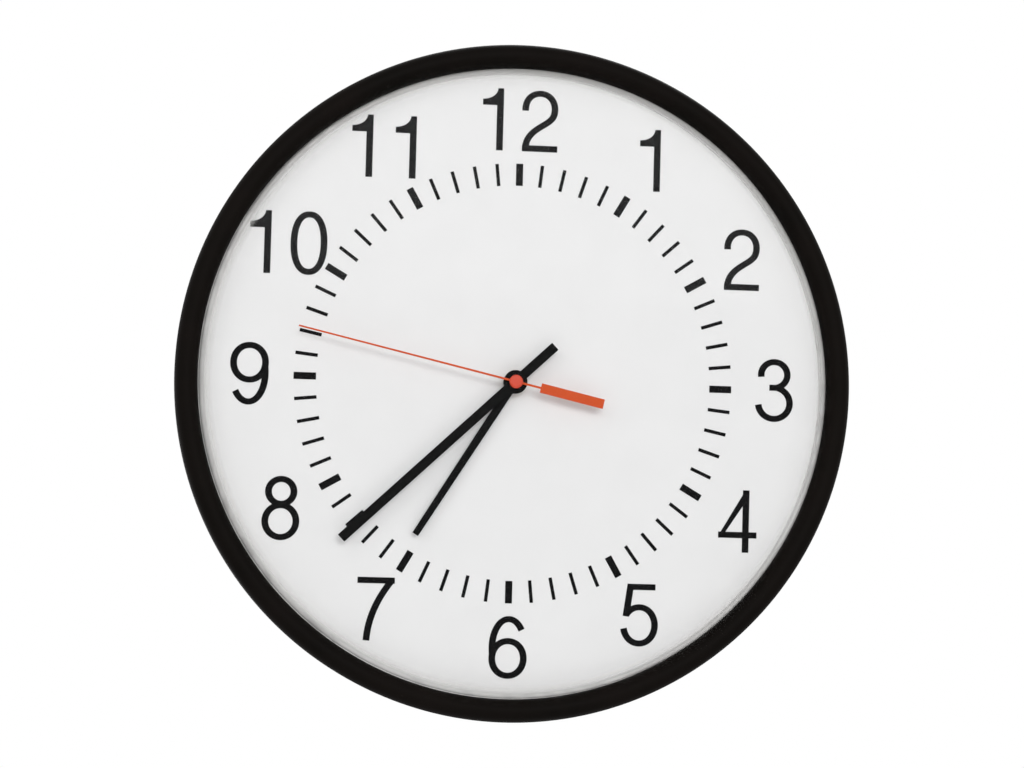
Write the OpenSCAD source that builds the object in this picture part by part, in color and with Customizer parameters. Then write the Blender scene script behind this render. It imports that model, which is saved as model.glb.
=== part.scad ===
// Round wall clock that runs over a network cable: case, lens, printed dial, hands,
// two-motor movement and circuit board. Millimetres.
// The wall is the plane y = 0, the dial faces -Y and +Z is up.

/* [Case] */
// Outside diameter of the front ring
clock_d = 328; // [324:1:340]
// Width of the front ring, seen from the front
ring_face_w = 11.1; // [10.6:0.1:13]
// Depth from the wall to the crown of the lens
clock_depth = 50; // [48:0.5:54]
// Depth of the cable space behind the back panel
recess_depth = 12; // [12:0.5:13]

/* [Dial] */
// From the inner edge of the front ring to the middle of the numbers
number_inset = 24.6; // [24:0.1:26]
// Height of the numbers
number_h = 30.4; // [28:0.1:31]
// From the inner edge of the front ring to the middle of the ticks
tick_inset = 51.4; // [49:0.1:55]
// Length of a tick
tick_l = 10.8; // [8:0.2:12]
// Width of a minute tick
minute_tick_w = 1.65; // [1.2:0.05:2]
// Width of a five-minute tick
hour_tick_w = 3.4; // [2.4:0.1:4]

/* [Hands] */
// Minute hand, pivot to tip
minute_hand_l = 113; // [100:1:115]
// Hour hand, pivot to tip
hour_hand_l = 88; // [70:1:92]
// Seconds hand, pivot to tip
second_hand_l = 108; // [95:1:110]

/* [Hidden] */
$fn = 64;

// Small sizes that many pieces share.
slip = 0.02;     // a piece pressed or screwed into another
gap = 0.3;       // two fixed pieces that lie side by side
run = 0.06;      // a shaft turning in its bore
clear = 0.15;    // a screw or tube in a hole that it doesn't fill
sink = 0.5;      // how far a boss or rib runs into the wall that it grows from
cut = 1;         // how far a cutting shape runs past the face that it cuts

// Radii, from the front ring inwards.
ring_r = clock_d / 2;
ring_wall = 3.4;
ring_in_r = ring_r - ring_wall;
lip_r = ring_r - ring_face_w;
lip_w = 2.3;
lens_play = 0.5;
lens_t = 2;
lens_rim_w = 2.6;
lens_r = lip_r - lens_play;
lens_rim_r = lens_r + lens_rim_w;
dial_play = 0.2;
dial_r = lens_rim_r - dial_play;
pocket_r = lens_rim_r + gap;
case_rim_r = ring_in_r - gap;
flange_w = 5.3;
tub_r = pocket_r - flange_w;
tub_wall = 2.4;
tub_in_r = tub_r - tub_wall;
wall_rim_w = 6;

// Levels, from the wall forwards.
wall_rim_t = 2;
panel_t = 2;
panel_z = recess_depth;
floor_z = panel_z + panel_t;
inner_depth = 16;
dial_back_z = floor_z + inner_depth;
flange_t = 3;
dial_t = 1;
dial_front_z = dial_back_z + dial_t;
print_t = 0.15;
lens_rim_t = 2;
lip_z = dial_front_z + lens_rim_t;
case_rim_drop = 0.2;
case_rim_z = lip_z - case_rim_drop;
lens_side_h = 4.4;
lens_shoulder_r = 5.2;
ring_skirt_l = 11;
ring_side_h = 4;
ring_crown_h = 7.5;
ring_hollow_h = 5.2;

// Rings of numbers and ticks on the dial. The 11 is set wider and a little up and left.
number_ring_r = lip_r - number_inset;
tick_ring_r = lip_r - tick_inset;
digit_spread = 9.2;
eleven_spread = 10.9;
eleven_shift = [-2.3, 1.6];

// Screws of the front ring.
ring_screw_count = 6;
ring_screw_first = 30;
ring_screw_r = 1.5;
ring_screw_head_r = 2.4;
ring_screw_head_t = 2;
ring_boss_r = 2.8;
ring_boss_h = 8;
ring_screw_shift = 0.1;
ring_screw_pcr = (pocket_r + case_rim_r) / 2 + ring_screw_shift;
ring_screw_l = 11.5;

// Hanger plate on two bosses of the back panel.
hanger_w = 46;
hanger_h = 30;
hanger_t = 1.6;
hanger_z = 0.6;
hanger_inset = 40;
hanger_y = tub_r - hanger_inset;
keyhole_r = 4.75;
keyhole_slot_w = 4.8;
keyhole_slot_l = 12;
hanger_boss_x = 17;
hanger_boss_r = 4;
hanger_screw_r = 1.5;
hanger_screw_l = 7;
hanger_head_r = 2.8;
hanger_head_t = 0.55;

// Stiffening ribs and vent slots of the back panel.
rib_angles = [0, 60, 120, 180, 215, 325];
rib_w = 2;
rib_h = 4;
rib_start_r = 30;
vent_count = 6;
vent_w = 3;
vent_l = 40;
vent_pitch = 8;
vent_x = 62;
vent_y = 30;
cable_notch_w = 8.4;
cable_notch_h = 5.2;

// Levels of the movement body.
movement_t = 14.5;
movement_corner_r = 6;
shell_t = 1.4;
shell_floor_t = 1.2;
shell_roof_t = 1.5;
shell_seam = 0.2;
seam_rise = 7.1;
rear_z = dial_back_z - movement_t;
inner_rear_z = rear_z + shell_floor_t;
inner_front_z = dial_back_z - shell_roof_t;
seam_z = rear_z + seam_rise;

// Mounting of the movement on the dial.
bushing_r = 3.6;
bushing_foot_r = 7;
bushing_foot_t = 0.8;
bushing_rise = 2.6;
bushing_top_z = dial_front_z + bushing_rise;
washer_r = 5.3;
washer_t = 0.5;
nut_af = 9;
nut_t = 1.7;

// Shafts on the centre line, one inside the other.
second_arbor_r = 0.75;
cannon_r = 1.6;
hour_tube_r = 2.5;
pivot_r = 0.5;
pivot_l = 0.9;
second_pivot_l = 0.7;
second_arbor_lift = 0.3;
arbor_r = 0.9;

// Hands. Angles are clockwise from the 12, as the photograph shows them.
hour_angle = 211.8;
minute_angle = 226.6;
second_angle = 282.6;
hour_hand_rise = 3.6;
minute_hand_step = 2.6;
second_hand_step = 2.4;
hour_hand_z = dial_front_z + hour_hand_rise;
minute_hand_z = hour_hand_z + minute_hand_step;
second_hand_z = minute_hand_z + second_hand_step;
hand_t = 0.6;
second_hand_t = 0.4;
minute_hand_w = 4.6;
minute_tail_l = 26;
hour_hand_w = 4.2;
hour_hand_tip_w = 3.2;
hour_hub_r = 5.4;
minute_hub_r = 5.75;
second_hub_r = 3.3;
needle_w = 1.1;
needle_tip_w = 0.8;
counterweight_w = 4.7;
counterweight_start = 12.4;
counterweight_end = 44;
collet_lip = 1.2;
collet_flange_t = 0.8;
cap_h = 1.1;
cap_edge_r = 0.6;
cap_tube_l = 0.9;
cap_tube_sink = 0.1;
cap_play = 0.05;

// Gear teeth.
pressure_angle = 20;
tooth_play = 0.05;
fine_module = 0.4;
cannon_module = 0.5;
hour_module = 0.48;
wheel_t = 0.8;

// Gear train: levels above the rear face of the movement.
second_level = rear_z + 2.1;
second_middle_level = rear_z + 3.9;
third_level = rear_z + 3.7;
minute_middle_level = rear_z + 5;
minute_middle_t = 0.6;
minute_level = rear_z + 6.1;
motion_level = rear_z + 7.5;
hour_level = rear_z + 9.7;

// Gear train: tooth counts.
rotor_teeth = 10;
wheel_teeth = 60;
middle_pinion_teeth = 12;
third_pinion_teeth = 15;
cannon_teeth = 12;
motion_teeth = 36;
motion_pinion_teeth = 10;
hour_teeth = 40;

// Profile shift that each pinion takes and its wheel gives.
rotor_shift = 0.4;
middle_shift = 0.3;
third_shift = 0.12;

// Gear train: where each arbor stands.
second_middle_angle = 195;
second_rotor_angle = 272;
third_angle = -40;
minute_middle_angle = 80;
minute_rotor_angle = 75;
motion_angle = 130;

function polar(r, a) = [r * cos(a), r * sin(a)];
function centres(m, a, b) = m * (a + b) / 2;

second_middle_at = polar(centres(fine_module, wheel_teeth, middle_pinion_teeth), second_middle_angle);
second_rotor_at = second_middle_at
  + polar(centres(fine_module, wheel_teeth, rotor_teeth), second_rotor_angle);
third_at = polar(centres(fine_module, wheel_teeth, third_pinion_teeth), third_angle);
minute_middle_at = third_at
  + polar(centres(fine_module, wheel_teeth, middle_pinion_teeth), minute_middle_angle);
minute_rotor_at = minute_middle_at
  + polar(centres(fine_module, wheel_teeth, rotor_teeth), minute_rotor_angle);
motion_at = polar(centres(cannon_module, cannon_teeth, motion_teeth), motion_angle);

// Arbor ends, between which each wheel turns.
second_middle_span = [rear_z + 1.6, rear_z + 5.3];
second_rotor_span = [rear_z + 3.1, rear_z + 9.3];
third_span = [rear_z + 3.3, rear_z + 7.7];
minute_middle_span = [rear_z + 2.9, rear_z + 6];
minute_rotor_span = [rear_z + 4.2, rear_z + 10.3];
end_play = 0.15;

// Pinion ends, a little longer than the wheel that each one drives or is driven by.
second_middle_pinion_span = [second_level - 0.4, second_level + wheel_t + 0.4];
second_rotor_pinion_span = [second_middle_level - 0.3, second_middle_level + wheel_t + 0.3];
third_pinion_span = [minute_level - 0.35, minute_level + wheel_t + 0.35];
minute_middle_pinion_span = [third_level - 0.4, third_level + wheel_t + 0.3];
minute_rotor_pinion_span = [minute_middle_level - 0.4, minute_middle_level + wheel_t + 0.2];
cannon_pinion_span = [minute_level + 0.5, minute_level + 2.7];
motion_pinion_span = [motion_level + 0.5, hour_level + 1.3];

// Tubes of the minute and hour wheels, and the post that the motion wheel turns on.
cannon_foot = 0.3;
cannon_rise = 0.3;
hour_tube_rise = 0.2;
motion_post_r = 1.3;
motion_post_drop = 0.3;
motion_collar_r = 2.2;
motion_collar_gap = 0.3;

// Motors: the rotor's magnet turns in a hole of the stator, beside the coil.
magnet_r = 2.8;
magnet_t = 3;
stator_hole_r = 3.4;
stator_half_l = 9.4;
stator_half_w = 4.2;
stator_t = 0.8;
stator_arm_w = 3;
coil_offset = 7.6;
core_w = 2.6;
core_t = 1.4;
coil_r = 3;
coil_side_gap = 0.2;
coil_half_l = stator_half_l - stator_arm_w - coil_side_gap;
bobbin_r = 3.2;
bobbin_barrel_r = 1.9;
bobbin_flange_t = 0.8;
second_magnet_z = rear_z + 5.7;
minute_magnet_z = rear_z + 6.7;
stator_rise = 1.1;

// The body is as wide as the motors need.
function motor_reach(p) = max(abs(p[0]) + stator_half_l, abs(p[1]) + coil_offset + bobbin_r);

motor_gap = 0.74;
movement_w = 2 * (max(motor_reach(second_rotor_at), motor_reach(minute_rotor_at)) + motor_gap + shell_t);
shell_post_r = 1.4;
shell_screw_r = 1;
shell_screw_l = 9;
shell_screw_head_r = 1.8;
shell_screw_head_t = 0.9;
shell_boss_r = 2.2;
shell_screw_inset = 4.6;
shell_screw_at = movement_w / 2 - shell_screw_inset;
shell_screw_corners = [[-1, 1], [-1, -1], [1, -1]];

// Circuit board with its parts. The jack hangs through the back panel.
board_w = 96;
board_h = 66;
board_t = 1.6;
board_share = 0.56;
board_y = -board_share * tub_r;
board_rise = 2.8;
board_z = floor_z + board_rise;
board_front_z = board_z + board_t;
board_hole_x = 43;
board_hole_y = 28;
board_boss_r = 3;
board_screw_r = 1.3;
board_screw_l = 5;
board_screw_head_r = 2.6;
board_screw_head_t = 1.4;
board_hole_spare = 0.2;

jack_w = 15.9;
jack_l = 21.3;
jack_h = 13.5;
jack_mouth_y = board_y + 0.5;
jack_mouth_w = 11.9;
jack_mouth_h = 7;
jack_mouth_l = 15;
jack_mouth_top = 5.2;
jack_latch_w = 6.2;
jack_latch_h = 0.7;
contact_count = 8;
contact_pitch = 1.02;
contact_w = 0.45;
contact_t = 0.4;
contact_l = 9;
contact_end_gap = 0.5;

transformer_at = [-24, board_y + 12];
transformer_w = 14;
transformer_h = 8.5;
transformer_leg = 3;
transformer_overhang = 1.5;
processor_at = [20, board_y - 12];
processor_w = 12;
processor_t = 1.4;
power_chip_at = [-6, board_y - 14];
power_chip_w = 6;
power_chip_h = 5;
power_chip_t = 1.2;
capacitor_at = [[-38, board_y - 20], [-26, board_y - 20]];
capacitor_r = 4;
capacitor_h = 9;
header_at = [12, board_y + 26];
header_w = 10;
header_h = 5;
header_t = 6;

socket_w = 10;
socket_l = 4;
socket_t = 4.6;
socket_play = 0.1;
socket_z = rear_z + 1.4;
lead_w = 6;
lead_t = 0.6;
lead_play = 0.1;
lead_slot_l = 1;

switch_at = [26, board_y + 14];
switch_w = 6;
switch_t = 2.4;
switch_roof_t = 0.6;
button_r = 1.7;
button_l = 5;
button_travel = 0.3;
button_end_gap = 0.2;
button_hole_r = 2.1;

// Shared shapes

// Turns a piece drawn with x right, y up and z out of the wall into the row's frame.
module stand_up() {
  rotate([90, 0, 0])
    children();
}

module disc(r, z, t) {
  translate([0, 0, z])
    cylinder(r = r, h = t);
}

module ring(r_out, r_in, z, t) {
  difference() {
    disc(r_out, z, t);
    disc(r_in, z - cut, t + 2 * cut);
  }
}

module block(size, at) {
  translate([at[0] - size[0] / 2, at[1] - size[1] / 2, at[2]])
    cube(size);
}

module rounded_slab(w, r, z, t) {
  translate([0, 0, z])
    linear_extrude(t)
      union() {
        square([w - 2 * r, w], center = true);
        square([w, w - 2 * r], center = true);
        for (x = [-1, 1], y = [-1, 1])
          translate([x, y] * (w / 2 - r))
            circle(r);
      }
}

// Pan-head screw: head on the side of the wall, shank towards the dial from z = 0.
module screw(shank_r, shank_l, head_r, head_t) {
  slot_w = head_r * 0.35;
  slot_l = head_r * 1.3;
  slot_depth = head_t * 0.55;
  cylinder(r = shank_r, h = shank_l);
  difference() {
    disc(head_r, -head_t, head_t);
    for (turn = [0, 90])
      rotate(turn)
        translate([-slot_l / 2, -slot_w / 2, -head_t - cut])
          cube([slot_l, slot_w, slot_depth + cut]);
  }
}

// Points of an ellipse-like arc from angle a0 to a1. A power above 2 squares it off.
function arc(c, rx, ry, a0, a1, power = 2, steps = 16) = [
  for (i = [0:steps])
    let (a = a0 + (a1 - a0) * i / steps)
    [
      c[0] + rx * sign(cos(a)) * pow(abs(cos(a)), 2 / power),
      c[1] + ry * sign(sin(a)) * pow(abs(sin(a)), 2 / power)
    ]
];

function bezier(p0, p1, p2, p3, steps = 14) = [
  for (i = [0:steps])
    let (t = i / steps, u = 1 - t)
    u * u * u * p0 + 3 * u * u * t * p1 + 3 * u * t * t * p2 + t * t * t * p3
];

function backwards(points) = [for (i = [len(points) - 1:-1:0]) points[i]];

// Gear teeth with involute flanks
function involute(a) = tan(a) * 180 / PI - a;

// Half the angle that a tooth spans at radius r.
function half_tooth(r, teeth, m, shift) =
  let (
    pitch_r = m * teeth / 2,
    base_r = pitch_r * cos(pressure_angle),
    at_pitch = (90 + 2 * shift * tan(pressure_angle) * 180 / PI) / teeth
      - tooth_play / (2 * pitch_r) * 180 / PI,
    slope = r > base_r ? acos(base_r / r) : 0
  )
  at_pitch + involute(pressure_angle) - involute(slope);

function gear_points(teeth, m, shift) =
  let (
    pitch_r = m * teeth / 2,
    base_r = pitch_r * cos(pressure_angle),
    root_r = pitch_r - m * (1.25 - shift),
    tip_r = pitch_r + m * (0.95 + shift),
    foot_r = max(base_r, root_r + 0.02),
    radii = [foot_r, foot_r + (tip_r - foot_r) * 0.35, foot_r + (tip_r - foot_r) * 0.7, tip_r]
  )
  [
    for (tooth = [0:teeth - 1])
      let (middle = tooth * 360 / teeth)
      each concat(
        [polar(root_r, middle - half_tooth(foot_r, teeth, m, shift))],
        [for (r = radii) polar(r, middle - half_tooth(r, teeth, m, shift))],
        [for (r = backwards(radii)) polar(r, middle + half_tooth(r, teeth, m, shift))],
        [polar(root_r, middle + half_tooth(foot_r, teeth, m, shift))]
      )
  ];

// A toothed disc with one tooth pointing at angle `turn`.
module gear(teeth, m, shift, turn, z, t) {
  translate([0, 0, z])
    rotate(turn)
      linear_extrude(t)
        polygon(gear_points(teeth, m, shift));
}

// The same shape from level span[0] to level span[1].
module pinion(teeth, m, shift, turn, span) {
  gear(teeth, m, shift, turn, span[0], span[1] - span[0]);
}

// Turn that puts a gap of the driven pinion on the line of centres at angle `line`.
function gap_turn(line, teeth) = line + 180 + 180 / teeth;

module at_point(p) {
  translate([p[0], p[1], 0])
    children();
}

// Plain arbor with a thin pivot at both ends.
module arbor(span) {
  disc(arbor_r, span[0], span[1] - span[0]);
  disc(pivot_r, span[0] - pivot_l, span[1] - span[0] + 2 * pivot_l);
}

// Blind post from z = from to z = to, with a bearing hole in its free end.
module bearing_post(from, to) {
  low = min(from, to);
  disc(shell_post_r, low, abs(to - from));
}

module bearing_hole(end, depth) {
  translate([0, 0, depth > 0 ? end - cut : end + depth])
    cylinder(r = pivot_r + run, h = abs(depth) + cut);
}

// Case

module rear_case() {
  color("dimgray")
    stand_up()
      difference() {
        union() {
          rotate_extrude($fn = 128)
            polygon([
              [tub_in_r - wall_rim_w, 0],
              [tub_r, 0],
              [tub_r, dial_back_z - flange_t],
              [case_rim_r, dial_back_z - flange_t],
              [case_rim_r, case_rim_z],
              [pocket_r, case_rim_z],
              [pocket_r, dial_back_z],
              [tub_in_r, dial_back_z],
              [tub_in_r, floor_z],
              [0, floor_z],
              [0, panel_z],
              [tub_in_r, panel_z],
              [tub_in_r, wall_rim_t],
              [tub_in_r - wall_rim_w, wall_rim_t]
            ]);
          for (a = rib_angles)
            rotate(a)
              translate([rib_start_r, -rib_w / 2, panel_z - rib_h])
                cube([tub_in_r + sink - rib_start_r, rib_w, rib_h + sink]);
          for (x = [-1, 1])
            translate([x * hanger_boss_x, hanger_y, 0])
              disc(hanger_boss_r, hanger_z + hanger_t, panel_z + sink - hanger_z - hanger_t);
          for (x = [-1, 1], y = [-1, 1])
            translate([x * board_hole_x, board_y + y * board_hole_y, 0])
              disc(board_boss_r, floor_z - sink, board_rise + sink);
        }
        for (i = [0:ring_screw_count - 1])
          rotate(ring_screw_first + i * 360 / ring_screw_count)
            translate([ring_screw_pcr, 0, 0])
              disc(ring_screw_r + clear, dial_back_z - flange_t - cut, flange_t + lens_rim_t + 3 * cut);
        for (x = [-1, 1])
          translate([x * hanger_boss_x, hanger_y, 0])
            disc(hanger_screw_r + slip, hanger_z, hanger_screw_l);
        for (x = [-1, 1], y = [-1, 1])
          translate([x * board_hole_x, board_y + y * board_hole_y, 0])
            disc(board_screw_r + slip, board_front_z - board_screw_l - board_hole_spare, board_screw_l);
        for (side = [-1, 1], i = [0:vent_count - 1])
          block(
            [vent_w, vent_l, panel_t + 2 * cut],
            [side * vent_x + (i - (vent_count - 1) / 2) * vent_pitch, vent_y, panel_z - cut]
          );
        block(
          [jack_w + 2 * gap, jack_l + 2 * gap, panel_t + 2 * cut],
          [0, jack_mouth_y + jack_l / 2, panel_z - cut]
        );
        at_point(switch_at)
          disc(button_hole_r, panel_z - cut, panel_t + 2 * cut);
        block(
          [cable_notch_w, wall_rim_w + 3 * tub_wall, cable_notch_h + cut],
          [0, -tub_in_r + wall_rim_w / 2, -cut]
        );
      }
}

module front_bezel() {
  screw_end_z = dial_back_z - flange_t + ring_screw_l;
  crown_c = [(ring_r + lip_r) / 2, lip_z + ring_side_h];
  hollow_out_r = ring_in_r;
  hollow_in_r = lip_r + lip_w;
  hollow_c = [(hollow_out_r + hollow_in_r) / 2, crown_c[1]];
  color("black")
    stand_up()
      difference() {
        union() {
          rotate_extrude($fn = 128)
            polygon(concat(
              [[ring_in_r, lip_z - ring_skirt_l], [ring_r, lip_z - ring_skirt_l]],
              arc(crown_c, (ring_r - lip_r) / 2, ring_crown_h, 0, 180, 2.2, 20),
              [[lip_r, lip_z], [hollow_in_r, lip_z]],
              arc(hollow_c, (hollow_out_r - hollow_in_r) / 2, ring_hollow_h, 180, 0, 2, 10)
            ));
          for (i = [0:ring_screw_count - 1])
            rotate(ring_screw_first + i * 360 / ring_screw_count)
              translate([ring_screw_pcr, 0, 0])
                disc(ring_boss_r, lip_z, ring_boss_h);
        }
        for (i = [0:ring_screw_count - 1])
          rotate(ring_screw_first + i * 360 / ring_screw_count)
            translate([ring_screw_pcr, 0, 0])
              disc(ring_screw_r + slip, lip_z - cut, screw_end_z - lip_z + 2 * cut);
      }
}

module bezel_screws() {
  color("silver")
    stand_up()
      for (i = [0:ring_screw_count - 1])
        rotate(ring_screw_first + i * 360 / ring_screw_count)
          translate([ring_screw_pcr, 0, dial_back_z - flange_t])
            screw(ring_screw_r, ring_screw_l, ring_screw_head_r, ring_screw_head_t);
}

// Clear lens: a flat rim under the ring, a short wall, a rounded shoulder and a shallow dome.
module lens() {
  shoulder_z = lip_z + lens_side_h;
  shoulder_c_r = lens_r - lens_shoulder_r;
  dome_edge_z = shoulder_z + lens_shoulder_r;
  rise = clock_depth - dome_edge_z;
  dome_r = (shoulder_c_r * shoulder_c_r + rise * rise) / (2 * rise);
  dome_half = asin(shoulder_c_r / dome_r);
  dome_c_z = clock_depth - dome_r;
  color("lightcyan", 0.3)
    stand_up()
      rotate_extrude($fn = 128)
        polygon(concat(
          [[lens_r - lens_t, dial_front_z], [lens_rim_r, dial_front_z], [lens_rim_r, lip_z]],
          [[lens_r, lip_z]],
          arc([shoulder_c_r, shoulder_z], lens_shoulder_r, lens_shoulder_r, 0, 90, 2, 10),
          [
            for (i = [1:13])
              let (a = dome_half * (1 - i / 14))
              [dome_r * sin(a), dome_c_z + dome_r * cos(a)]
          ],
          [[0, clock_depth], [0, clock_depth - lens_t]],
          [
            for (i = [1:14])
              let (a = dome_half * i / 14)
              [(dome_r - lens_t) * sin(a), dome_c_z + (dome_r - lens_t) * cos(a)]
          ],
          arc([shoulder_c_r, shoulder_z], lens_shoulder_r - lens_t, lens_shoulder_r - lens_t, 86, 0, 2, 9)
        ));
}

module dial_plate() {
  color("white")
    stand_up()
      ring(dial_r, bushing_r + clear, dial_back_z, dial_t);
}

// Dial numbers, drawn as pen strokes: broad where they run up and down, finer across.
stroke_v = 1.62;
stroke_h = 1.47;
digit_w = 18.2;
digit_base_h = 30.4;
one_w = 10.2;

function unit(v) = v / norm(v);

function run_at(p, i) =
  unit(p[min(i + 1, len(p) - 1)] - p[max(i - 1, 0)]);

function beside(p, i, side) =
  let (
    d = run_at(p, i),
    half = sqrt(pow(stroke_v * d[1], 2) + pow(stroke_h * d[0], 2))
  )
  p[i] + side * half * [-d[1], d[0]];

module stroke(p) {
  polygon(concat(
    [for (i = [0:len(p) - 1]) beside(p, i, 1)],
    [for (i = [len(p) - 1:-1:0]) beside(p, i, -1)]
  ));
}

// A closed bowl of the pen: outer edge less inner edge.
module bowl(c, rx, ry, power = 2) {
  difference() {
    polygon(arc(c, rx + stroke_v, ry + stroke_h, 0, 354, power, 59));
    polygon(arc(c, rx - stroke_v, ry - stroke_h, 0, 354, power, 59));
  }
}

module digit_0() {
  bowl([digit_w / 2, 15.2], 7.26, 13.93, 2.25);
}

module digit_1() {
  flag_top = digit_base_h - 5.4;
  flag_bottom = digit_base_h - 8.3;
  stem_x = one_w - 2 * stroke_v;
  polygon(concat(
    [[0, flag_bottom], [stem_x, flag_bottom], [stem_x, 0], [one_w, 0], [one_w, digit_base_h]],
    arc([0, digit_base_h], stem_x + 0.4, digit_base_h - flag_top, 0, -90, 2, 12)
  ));
}

module digit_2() {
  stroke(concat(
    arc([8.8, 20.9], 7.21, 7.68, 186, -34, 2.1, 24),
    bezier([14.5, 16.2], [11.4, 12.4], [2, 10.4], [1.85, 1.45])
  ));
  translate([0.2, 0])
    square([17.4, 2 * stroke_h + 0.1]);
}

module digit_3() {
  stroke(arc([9.0, 23.2], 6.51, 6.33, 190, -78, 2, 24));
  stroke(arc([9.1, 9.25], 7.81, 7.63, 78, -174, 2, 28));
  translate([6.7, 16.9 - stroke_h])
    square([4.4, 2 * stroke_h]);
}

module digit_4() {
  bar_y = 8.9;
  stem_x = 13.5;
  stroke([[stem_x, 0], [stem_x, digit_base_h]]);
  stroke([[0, bar_y - 0.4], [19, bar_y - 0.4]]);
  polygon([
    [0, bar_y - 1],
    [stem_x - 0.3, digit_base_h],
    [stem_x + 0.3, digit_base_h - 4.9],
    [3.2, bar_y + 0.5]
  ]);
}

module digit_5() {
  translate([3.3, digit_base_h - 2 * stroke_h])
    square([13.4, 2 * stroke_h]);
  stroke([[4.6, digit_base_h - 0.1], [2.5, 14.6]]);
  stroke(arc([9.0, 10.35], 7.66, 8.78, 143, -170, 2.05, 30));
}

module digit_6() {
  bowl([9.4, 10.1], 7.66, 8.33, 2.05);
  stroke(arc([9.6, 15.3], 7.91, 13.73, 196, 38, 2.05, 24));
}

module digit_7() {
  translate([0, digit_base_h - 2 * stroke_h])
    square([18, 2 * stroke_h]);
  stroke(bezier([16.4, digit_base_h - 1.6], [11.3, 22.2], [5.5, 12.4], [4.9, 0]));
}

module digit_8() {
  bowl([9.1, 23.35], 6.11, 5.98);
  bowl([9.1, 9.1], 7.46, 7.68);
}

module digit_9() {
  translate([18.6, 30.9])
    rotate(180)
      digit_6();
}

module digit(n) {
  if (n == 0) digit_0();
  if (n == 1) digit_1();
  if (n == 2) digit_2();
  if (n == 3) digit_3();
  if (n == 4) digit_4();
  if (n == 5) digit_5();
  if (n == 6) digit_6();
  if (n == 7) digit_7();
  if (n == 8) digit_8();
  if (n == 9) digit_9();
}

function digit_width(n) = n == 1 ? one_w : digit_w;

// One number with its middle at [0, 0].
module number(n, spread) {
  tens = floor(n / 10);
  ones = n % 10;
  whole_w = tens > 0 ? one_w + spread + digit_width(ones) : digit_width(ones);
  size = number_h / digit_base_h;
  scale([size, size, 1])
    translate([-whole_w / 2, -digit_base_h / 2, 0])
      linear_extrude(print_t)
        union() {
          if (tens > 0)
            digit(tens);
          translate([tens > 0 ? one_w + spread : 0, 0])
            digit(ones);
        }
}

module dial_numbers() {
  color("black")
    stand_up()
      for (hour = [1:12])
        translate([
          number_ring_r * sin(hour * 30) + (hour == 11 ? eleven_shift[0] : 0),
          number_ring_r * cos(hour * 30) + (hour == 11 ? eleven_shift[1] : 0),
          dial_front_z
        ])
          number(hour, hour == 11 ? eleven_spread : digit_spread);
}

module dial_ticks() {
  color("black")
    stand_up()
      for (i = [0:59])
        rotate(-6 * i)
          block(
            [i % 5 == 0 ? hour_tick_w : minute_tick_w, tick_l, print_t],
            [0, tick_ring_r, dial_front_z]
          );
}

module hanger_plate() {
  color("lightgray")
    stand_up()
      difference() {
        block([hanger_w, hanger_h, hanger_t], [0, hanger_y, hanger_z]);
        translate([0, hanger_y - keyhole_slot_l / 2, 0])
          disc(keyhole_r, hanger_z - cut, hanger_t + 2 * cut);
        translate([0, hanger_y + keyhole_slot_l / 2, 0])
          disc(keyhole_slot_w / 2, hanger_z - cut, hanger_t + 2 * cut);
        block(
          [keyhole_slot_w, keyhole_slot_l, hanger_t + 2 * cut],
          [0, hanger_y, hanger_z - cut]
        );
        for (x = [-1, 1])
          translate([x * hanger_boss_x, hanger_y, 0])
            disc(hanger_screw_r + slip, hanger_z - cut, hanger_t + 2 * cut);
      }
}

module hanger_screws() {
  color("silver")
    stand_up()
      for (x = [-1, 1])
        translate([x * hanger_boss_x, hanger_y, hanger_z])
          screw(hanger_screw_r, hanger_screw_l, hanger_head_r, hanger_head_t);
}

// Hands

module hand_blade(angle, tip, tail, w, tip_w, hub_r, hole_r, z, t) {
  rotate(-angle)
    translate([0, 0, z])
      linear_extrude(t)
        difference() {
          union() {
            polygon([[-w / 2, -tail], [w / 2, -tail], [tip_w / 2, tip], [-tip_w / 2, tip]]);
            circle(hub_r);
          }
          circle(hole_r);
        }
}

// Collet pressed on a shaft: a flange under the hand and a neck through it.
module collet(bore_r, z, t) {
  ring(bore_r + 2 * collet_lip, bore_r + slip, z - collet_flange_t, collet_flange_t);
  ring(bore_r + collet_lip, bore_r + slip, z, t);
}

module hour_hand() {
  color("black")
    stand_up()
      hand_blade(
        hour_angle, hour_hand_l, 0, hour_hand_w, hour_hand_tip_w,
        hour_hub_r, hour_tube_r + collet_lip + slip, hour_hand_z, hand_t
      );
}

module hour_hand_collet() {
  color("goldenrod")
    stand_up()
      collet(hour_tube_r, hour_hand_z, hand_t);
}

module minute_hand() {
  color("black")
    stand_up()
      hand_blade(
        minute_angle, minute_hand_l, minute_tail_l, minute_hand_w, minute_hand_w,
        minute_hub_r, cannon_r + collet_lip + slip, minute_hand_z, hand_t
      );
}

module minute_hand_collet() {
  color("goldenrod")
    stand_up()
      collet(cannon_r, minute_hand_z, hand_t);
}

module second_hand() {
  color("orangered")
    stand_up()
      rotate(-second_angle)
        translate([0, 0, second_hand_z])
          linear_extrude(second_hand_t)
            difference() {
              union() {
                polygon([
                  [-needle_w / 2, -counterweight_end],
                  [needle_w / 2, -counterweight_end],
                  [needle_tip_w / 2, second_hand_l],
                  [-needle_tip_w / 2, second_hand_l]
                ]);
                translate([-counterweight_w / 2, -counterweight_end])
                  square([counterweight_w, counterweight_end - counterweight_start]);
                circle(second_hub_r);
              }
              circle(second_arbor_r + collet_lip / 2 + slip);
            }
}

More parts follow.
